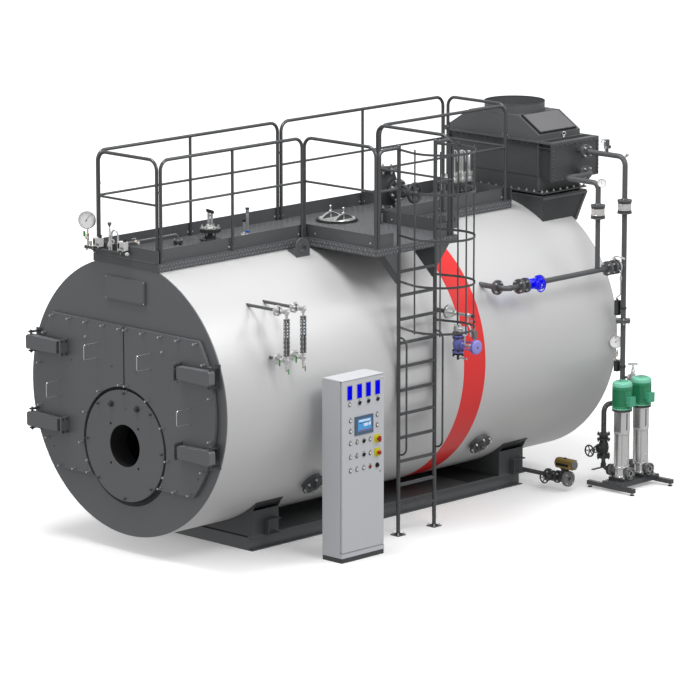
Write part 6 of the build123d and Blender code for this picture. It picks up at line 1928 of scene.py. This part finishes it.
def make_pumps():
    body = Piece("pump_steel")
    motors = Piece("motor_paint")
    ring = []
    fins = []
    for y in (2.77, 3.1):
        column(body, y)
        motor(motors, y)
        for x in (PUMP_X - 0.145, PUMP_X + 0.145):
            ring += bolt_circle((x, y, 0.2), RIGHT, 0.052, 4)
        for k in range(36):
            a = TURN * (k + 0.5) / 36
            if math.cos(a) > 0.86:
                continue
            out = Vector((math.cos(a), math.sin(a), 0))
            fins.append(spot(Vector((PUMP_X, y, 1.064)) + out * 0.1055, out, 1.0, UP))
    body.made("pump_pair", "fitting_steel", "pumps")
    motors.made("motor_pair", "green_paint", "pump_motors")
    repeat("fin", "motor_fins", fins, (190, 4.5, 18), "motor_paint")
    for z, aim in ((0.322, DOWN), (0.358, UP), (0.53, DOWN), (0.602, UP)):
        for y in (2.77, 3.1):
            ring += bolt_circle((1.6, y, z), aim, 0.06, 4)
    bolts("pump_bolts", ring, (11, 10, 13.5, 6.5, 20), "dark_steel")
    hand_wheel("pump_wheel", "pump_wheel_body", "anthracite_paint", "pump_valve_wheel", CAST,
        (1.6, 2.528, 0.44), FRONT, 0.072, 0.018, 0.0075, 0.11)
    extra = Piece(CAST)
    for y in (2.77, 3.1):
        extra.turned((1.6, y, 0.385), UP, mm(-20, 30, -10, 47, 20, 56, 55, 60, 90, 56, 120, 47,
            130, 30), 32)
        extra.tube([(1.7, y, 0.2), (1.6, y, 0.2), (1.6, y, 0.34)], 0.024, 0.06, 16, "rail_paint")
        extra.flange((1.698, y, 0.2), RIGHT, 0.065, 0.018)
        for z, thick, r in ((0.331, 0.018, 0.075), (0.349, 0.018, 0.075), (0.365, 0.014, 0.05),
                (0.505, 0.03, 0.045), (0.538, 0.016, 0.075), (0.566, 0.036, 0.05),
                (0.594, 0.016, 0.075)):
            extra.flange((1.6, y, z), UP, r, thick)
    extra.tube([(1.6, 2.77, 0.6), (1.6, 2.77, 0.93), (1.6, 3.0, 0.93)], 0.03, 0.085, 18,
        "rail_paint", 9)
    extra.tube([(1.6, 3.1, 0.6), (1.6, 3.1, 0.93), (1.6, 2.95, 0.93)], 0.03, 0.085, 18,
        "rail_paint", 9)
    extra.tube([(1.6, 3.03, 0.93), (FEED_X, 3.05, 0.95), (FEED_X, 3.05, 1.0)], 0.03, 0.02, 18,
        "rail_paint", 5)
    extra.box((1.585, 2.58, 0.208), (1.615, 2.77, 0.218), CAST, 0.002)
    extra.upright(1.6, 2.77, 0.21, 0.26, 0.032, 20, CAST, 0.003)
    extra.turned((1.6, 2.77, 0.44), FRONT, mm(30, 40, 60, 40, 62, 52, 82, 52, 84, 32, 100, 26, 100,
        9.5, 84, 9.5, 60, 9.5, 30, 9.5), 28, closed=True)
    extra.turned((1.6, 2.602, 0.44), FRONT, mm(0, 9.5, 0, 22, 20, 22, 20, 9.5), 24, closed=True)
    for turn in (-1, 1):
        extra.tube([(1.6, 2.69, 0.44 + turn * 0.04), (1.6, 2.63, 0.44 + turn * 0.036),
            (1.6, 2.594, 0.44 + turn * 0.017)], 0.0075, 0.02, 10)
    extra.tube([(1.6, 3.1, 0.93), (1.6, 3.1, 1.21), (1.7, 3.1, 1.21)], 0.016, 0.05, 14, STEEL)
    extra.made("pump_pipework", "anthracite_paint", "pump_pipes")
    base = Piece("rail_paint")
    for y in (2.605, 3.266):
        base.bar(1.52, 2.205, y, 0.026, 0.03, 0.078, edge=0.003)
        for x in (1.55, 2.175):
            base.upright(x, y, 0.012, 0.09, 0.007, 12, ZINC, 0.001)
            base.upright(x, y, 0.02, 0.03, 0.014, 6, ZINC, 0.001)
            base.upright(x, y, 0, 0.012, 0.026, 20, "rubber", 0.003)
    base.box((PUMP_X - 0.12, 2.58, 0.05), (PUMP_X + 0.12, 3.291, 0.11), edge=0.004)
    base.made("pump_frame", "anthracite_paint", "pump_base")
    top_valve()


class BOILER_OT_pumps(bpy.types.Operator):
    """Two upright pumps with finned motors, their valves and adjustable feet"""
    bl_idname = "boiler.pumps"
    bl_label = "Pumps"

    def execute(self, context):
        make_pumps()
        return {"FINISHED"}


def make_blowdown():
    x, y, z = 1.3, 2.25, 0.15
    valve = Piece(CAST)
    valve.turned((x - 0.075, y, z), RIGHT, mm(0, 22, 0, 70.5, 1.5, 72, 14.5, 72, 16, 70.5, 16, 36,
        35, 40, 55, 56, 75, 62, 95, 56, 115, 40, 134, 36, 134, 70.5, 135.5, 72, 148.5, 72, 150,
        70.5, 150, 22), 36)
    bonnet(valve, (x, y - 0.01, z), FRONT, 0.036, 0.05, 0.046, 0.012, 0.112, 0.0075)
    valve.made("blowdown_gate", "anthracite_paint", "blowdown_valve")
    hand_wheel("blowdown_wheel", "blowdown_wheel_body", "anthracite_paint", "blowdown_valve_wheel",
        CAST, (x, y - 0.15, z), FRONT, 0.068, 0.017, 0.009, 0.042)
    ball = x + 0.18
    drive = Piece("drive_gold")
    drive.flange((x + 0.083, y, z), RIGHT, 0.072, 0.016, CAST)
    drive.turned((x + 0.09, y, z), RIGHT, mm(0, 30, 30, 30, 50, 52, 90, 58, 116, 54, 118, 54), 36,
        CAST)
    drive.turned((x + 0.09, y, z), RIGHT, mm(116, 50, 116, 86, 120, 90, 158, 90, 162, 86, 162, 55,
        159, 53, 159, 36, 162, 34, 162, 24, 120, 22, 120, 0), 48, "gauge_body")
    drive.upright(ball, y, z + 0.03, z + 0.075, 0.024, 20, CAST)
    for turn in (-1, 1):
        drive.box((ball - 0.034, y + turn * 0.026 - 0.003, z + 0.05),
            (ball + 0.034, y + turn * 0.026 + 0.003, z + 0.108), CAST, 0.001)
    drive.bar(ball - 0.042, ball + 0.042, y, 0.034, z + 0.104, z + 0.112, CAST, 0.001)
    drive.upright(ball, y, z + 0.07, z + 0.114, 0.011, 14, STEEL)
    low, high, axis = ball - 0.105, ball + 0.135, z + 0.17
    outline = []
    for k in range(32):
        a = TURN * k / 32
        c, d = math.cos(a), math.sin(a)
        outline.append((low, y + math.copysign(0.049 * abs(c) ** 0.45, c),
            axis + math.copysign(0.058 * abs(d) ** 0.45, d)))
    drive.prism(outline, (high - low, 0, 0), "drive_gold", 0.001)
    for end, way in ((low, -1), (high, 1)):
        drive.turned((end, y, axis), (way, 0, 0), mm(-2, 30, -2, 46, 2, 48, 14, 48, 19, 43, 20, 0),
            32, "gauge_body" if way > 0 else "drive_gold")
        for py, pz in around(y, axis, 0.036, 4):
            drive.level(end + way * 0.01, end + way * 0.024, py, pz, 0.0055, 6, "dark_steel",
                0.001)
    for k in range(7):
        px = low + 0.03 + k * (high - low - 0.06) / 6
        drive.box((px - 0.003, y - 0.0515, axis + 0.012), (px + 0.003, y - 0.045, axis + 0.044),
            "drive_gold", 0.001)
    drive.box((low + 0.012, y - 0.052, axis - 0.026), (high - 0.05, y - 0.045, axis + 0.004),
        "soot", 0.002)
    drive.upright(ball, y, axis + 0.055, axis + 0.066, 0.018, 20, "soot", 0.002)
    drive.made("blowdown_drive", "gold_anodised", "blowdown_actuator")
    spots = both_faces((x - 0.075, y, z), RIGHT, 0.016, 0.055, 4)
    spots += both_faces((x + 0.075, y, z), RIGHT, 0.016, 0.055, 4)
    spots += bolt_circle((x + 0.252, y, z), RIGHT, 0.07, 4, 0.7)
    bolts("blowdown_bolts", spots, (11, 10, 13.5, 6.5, 20), STEEL)


class BOILER_OT_blowdown(bpy.types.Operator):
    """Gate valve, ball valve and pneumatic drive of the blowdown line"""
    bl_idname = "boiler.blowdown"
    bl_label = "Blowdown"

    def execute(self, context):
        make_blowdown()
        return {"FINISHED"}


def make_cabinet():
    face, edge = 1.965, -1.859
    piece = Piece("display_blue")
    body = "cabinet_door_body"

    def at(across_mm, z_mm, out=0):
        return Vector((face + out, edge + across_mm / 1000, z_mm / 1000))

    def panel(across_mm, z_mm, wide, high, out, finish, ease=0.004, low=-0.001):
        piece.box(at(across_mm - wide / 2, z_mm - high / 2, low), at(across_mm + wide / 2,
            z_mm + high / 2, out), finish, ease, 2)

    def lamp(across_mm, z_mm, lens="white_plastic", turned=False, r=0.0215):
        spot_at = at(across_mm, z_mm)
        # The dark bezel round each lamp gives the dark crescent under the lens: painted shade.
        piece.turned(spot_at, RIGHT, [(0, r), (0.002, r + 0.001), (0.006, r), (0.008, 0.84 * r),
            (0.004, 0.8 * r)], 24, "dark_steel")
        if turned:
            piece.rod(spot_at, spot_at + Vector((0.012, 0, 0)), 0.72 * r, 20, "soot", 0.002)
            knob = spot_at + Vector((0.012, 0, 0))
            tilt = Vector((0, 0.5, 0.866))
            flat = Vector((0, 0.866, -0.5))
            piece.prism([knob - tilt * 0.9 * r - flat * 0.24 * r,
                knob - tilt * 0.9 * r + flat * 0.24 * r, knob + tilt * 0.9 * r + flat * 0.24 * r,
                knob + tilt * 0.9 * r - flat * 0.24 * r], (0.012, 0, 0), "soot", 0.002)
        else:
            piece.turned(spot_at, RIGHT, [(0.001, 0.74 * r), (0.007, 0.72 * r), (0.012, 0.55 * r),
                (0.0145, 0.28 * r), (0.015, 0)], 20, lens)
        panel(across_mm, z_mm + 30, 26, 9, 0.0015, "grey_plastic", 0.0005)
    for x in (116, 264, 398, 539):
        panel(x, 1833, 76, 158, 0.004, "grey_plastic")
        panel(x, 1833, 66, 146, 0.0055, "display_blue", 0.002)
    panel(329, 1460, 276, 200, 0.011, "screen_frame", 0.007)
    panel(333, 1462, 202, 132, 0.0118, "screen_blue", 0.001)
    for x, z, wide, high, finish in ((333, 1508, 170, 22, "screen_pale"),
            (350, 1462, 60, 34, "screen_pale"), (408, 1468, 36, 42, "screen_pale"),
            (333, 1405, 180, 8, "red_plastic")):
        panel(x, z, wide, high, 0.0124, finish, 0.0004)
    for x in (272, 333, 394):
        panel(x, 1484, 40, 6, 0.0128, "soot", 0.0003)
    for x, lens in ((116, "white_plastic"), (264, "soot"), (398, "soot"), (539, "soot")):
        lamp(x, 1705, lens, x > 200)
    for z in (1529, 1413):
        lamp(128, z)
    for z in (1534, 1421):
        lamp(535, z)
    for z, row in ((1283, "wgkw"), (1135, "wgkw"), (988, "wwwr")):
        for x, mark in zip((128, 226, 329, 427), row):
            lamp(x, z, {"w": "white_plastic", "g": "pale_green", "k": "soot",
                "r": "red_plastic"}[mark], mark == "k")
    for z in (1277, 1128):
        panel(535, z, 92, 88, 0.003, "yellow_plastic", 0.003)
        place = at(535, z)
        piece.turned(place, RIGHT, mm(2, 36, 4, 40, 8, 40, 10, 22), 32, "yellow_plastic")
        piece.turned(place, RIGHT, mm(8, 13, 26, 13, 28, 21, 34, 24, 44, 23, 50, 16, 52, 0), 32,
            "red_plastic")
        if z > 1200:
            piece.box(place + Vector((0.03, -0.01, -0.03)), place + Vector((0.052, 0.01, 0.03)),
                "red_plastic", 0.004, 2)
    place = at(535, 988)
    piece.turned(place, RIGHT, mm(0, 26, 3, 28, 8, 24, 10, 18, 22, 16, 24, 12, 24, 0), 28, "soot")
    place = at(582, 920)
    piece.turned(place, RIGHT, mm(0, 14, 4, 14, 6, 10, 6, 0), 24, STEEL)
    piece.box(place + Vector((0.004, -0.002, -0.008)), place + Vector((0.008, 0.002, 0.008)),
        "soot", 0.0005)
    for z in (150, 1922):
        piece.rod(at(612, z), at(612, z, 0.004), 0.011, 20, STEEL, 0.001)
    piece.made("cabinet_controls", "cabinet_grey", body=body)
    trim = Piece("soot")
    trim.box((1.945, -1.8595, 0.1), (1.9655, -1.217, 0.1035), "cabinet_paint", 0.001)
    trim.box((1.6745, -1.8595, 0.052), (1.9655, -1.2165, 0.103), "cabinet_paint", 0.002)
    trim.box((1.677, -1.857, 0), (1.963, -1.219, 0.05), "dark_steelwork", 0.003)
    for y0, y1 in ((-1.8585, -1.846), (-1.23, -1.2175)):
        trim.box((1.936, y0, 0.104), (1.9405, y1, 1.97), "cabinet_paint", 0.0005)
    trim.box((1.936, -1.8585, 1.955), (1.9405, -1.2175, 1.97), "cabinet_paint", 0.0005)
    trim.box((1.936, -1.8585, 0.103), (1.9405, -1.2175, 0.118), "cabinet_paint", 0.0005)
    trim.made("cabinet_plinth_trim", "cabinet_grey")


class BOILER_OT_cabinet(bpy.types.Operator):
    """Control cabinet's face: displays, touch screen, switches and lamps"""
    bl_idname = "boiler.cabinet"
    bl_label = "Control cabinet"

    def execute(self, context):
        make_cabinet()
        return {"FINISHED"}


def make_rear():
    piece = Piece(STEEL)
    back = st(6.2)
    x, y = 1.56, 3.008
    dial(piece, (x, y, 1.62), (1, -0.9, 0.05), 0.074, 0.7)
    piece.upright(x, y, 1.49, 1.54, 0.006, 12, "brass")
    piece.box((x + 0.018, y - 0.006, 1.49), (x + 0.03, y + 0.002, 1.53), "green_plastic", 0.002)
    cock(piece, (x, y, 1.47), UP, RIGHT, 0.013, STEEL, 0.03)
    piece.upright(x, y, 1.36, 1.46, 0.007, 12)
    piece.rod((x - 0.02, y, 1.41), (FEED_X, 3.05, 1.415), 0.0085, 12)
    piece.upright(x, y, 1.66, 1.93, 0.0055, 12)
    for low, high in ((1.93, 2.1), (1.28, 1.4)):
        piece.box((x - 0.022, 3.0, low), (x + 0.03, 3.05, high), CAST, 0.005, 2)
        piece.box((x + 0.028, 3.008, low + 0.012), (x + 0.036, 3.042, high - 0.012), "soot", 0.002)
        piece.upright(x, 3.025, high, high + 0.02, 0.012, 6, CAST, 0.002)
        piece.ring((FEED_X, 3.05, 0.5 * (low + high)), UP, 0.037, 0.03, 0.025, 28, CAST, 0.002)
    piece.made("rear_instruments", "fitting_steel")
    plate = Piece("steelwork_paint")
    plate.ring((0, back + 0.002, AXIS_Z), BACK, 1.35, 1.3, 0.006, 160, edge=0.001)
    plate.box((-0.32, back - 0.001, 1.0), (0.32, back + 0.012, 1.5), edge=0.004)
    plate.ring((0, back + 0.008, 2.25), BACK, 0.28, 0.02, 0.014, 64, edge=0.003)
    for x in (-0.2, 0.2):
        plate.tube([(x, back + 0.01, 1.17), (x, back + 0.05, 1.17), (x, back + 0.05, 1.33),
            (x, back + 0.01, 1.33)], 0.0065, 0.02, 10)
    plate.made("rear_doors", "anthracite_paint")
    spots = bolt_circle((0, back, AXIS_Z), BACK, 1.42, 36)
    spots += bolt_circle((0, back + 0.015, 2.25), BACK, 0.25, 12)
    for x in (-0.29, -0.1, 0.1, 0.29):
        for z in (1.03, 1.47):
            spots.append(spot((x, back + 0.012, z), BACK))
    bolts("rear_bolts", spots, (15.5, 13, 20, 8, 24))


class BOILER_OT_rear(bpy.types.Operator):
    """Rear instruments and the rear plate's seams"""
    bl_idname = "boiler.rear"
    bl_label = "Rear end"

    def execute(self, context):
        make_rear()
        return {"FINISHED"}


OPERATORS = (BOILER_OT_stage, BOILER_OT_solids, BOILER_OT_cladding, BOILER_OT_nozzles,
    BOILER_OT_front, BOILER_OT_doors, BOILER_OT_tubes, BOILER_OT_railings, BOILER_OT_treads,
    BOILER_OT_ladder, BOILER_OT_cage, BOILER_OT_instruments, BOILER_OT_probes, BOILER_OT_steam,
    BOILER_OT_gauges, BOILER_OT_economizer, BOILER_OT_feed, BOILER_OT_pumps, BOILER_OT_blowdown,
    BOILER_OT_cabinet, BOILER_OT_rear)


class BOILER_PT_pieces(bpy.types.Panel):
    """Pieces of the boiler in the order they are made"""
    bl_idname = "BOILER_PT_pieces"
    bl_label = "Industrial boiler"
    bl_space_type = "VIEW_3D"
    bl_region_type = "UI"
    bl_category = "Boiler"

    def draw(self, context):
        for group in (context.scene.boiler_sizes, context.scene.boiler_colours):
            for name in group.__annotations__:
                self.layout.prop(group, name)
        for operator in OPERATORS:
            self.layout.operator(operator.bl_idname)


CLASSES = (BoilerSizes, BoilerColours, *OPERATORS, BOILER_PT_pieces)


def register():
    for item in CLASSES:
        bpy.utils.register_class(item)
    bpy.types.Scene.boiler_sizes = bpy.props.PointerProperty(type=BoilerSizes)
    bpy.types.Scene.boiler_colours = bpy.props.PointerProperty(type=BoilerColours)


def unregister():
    del bpy.types.Scene.boiler_colours
    del bpy.types.Scene.boiler_sizes
    for item in reversed(CLASSES):
        bpy.utils.unregister_class(item)


def main():
    register()
    for operator in OPERATORS:
        group, name = operator.bl_idname.split(".")
        getattr(getattr(bpy.ops, group), name)()
    boxes = {"cad": CAD_BOX, "visual": [list(corner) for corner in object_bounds()]}
    ({key: [[float(c) for c in corner] for corner in box]
               for key, box in boxes.items()})


if __name__ == "__main__":
    main()
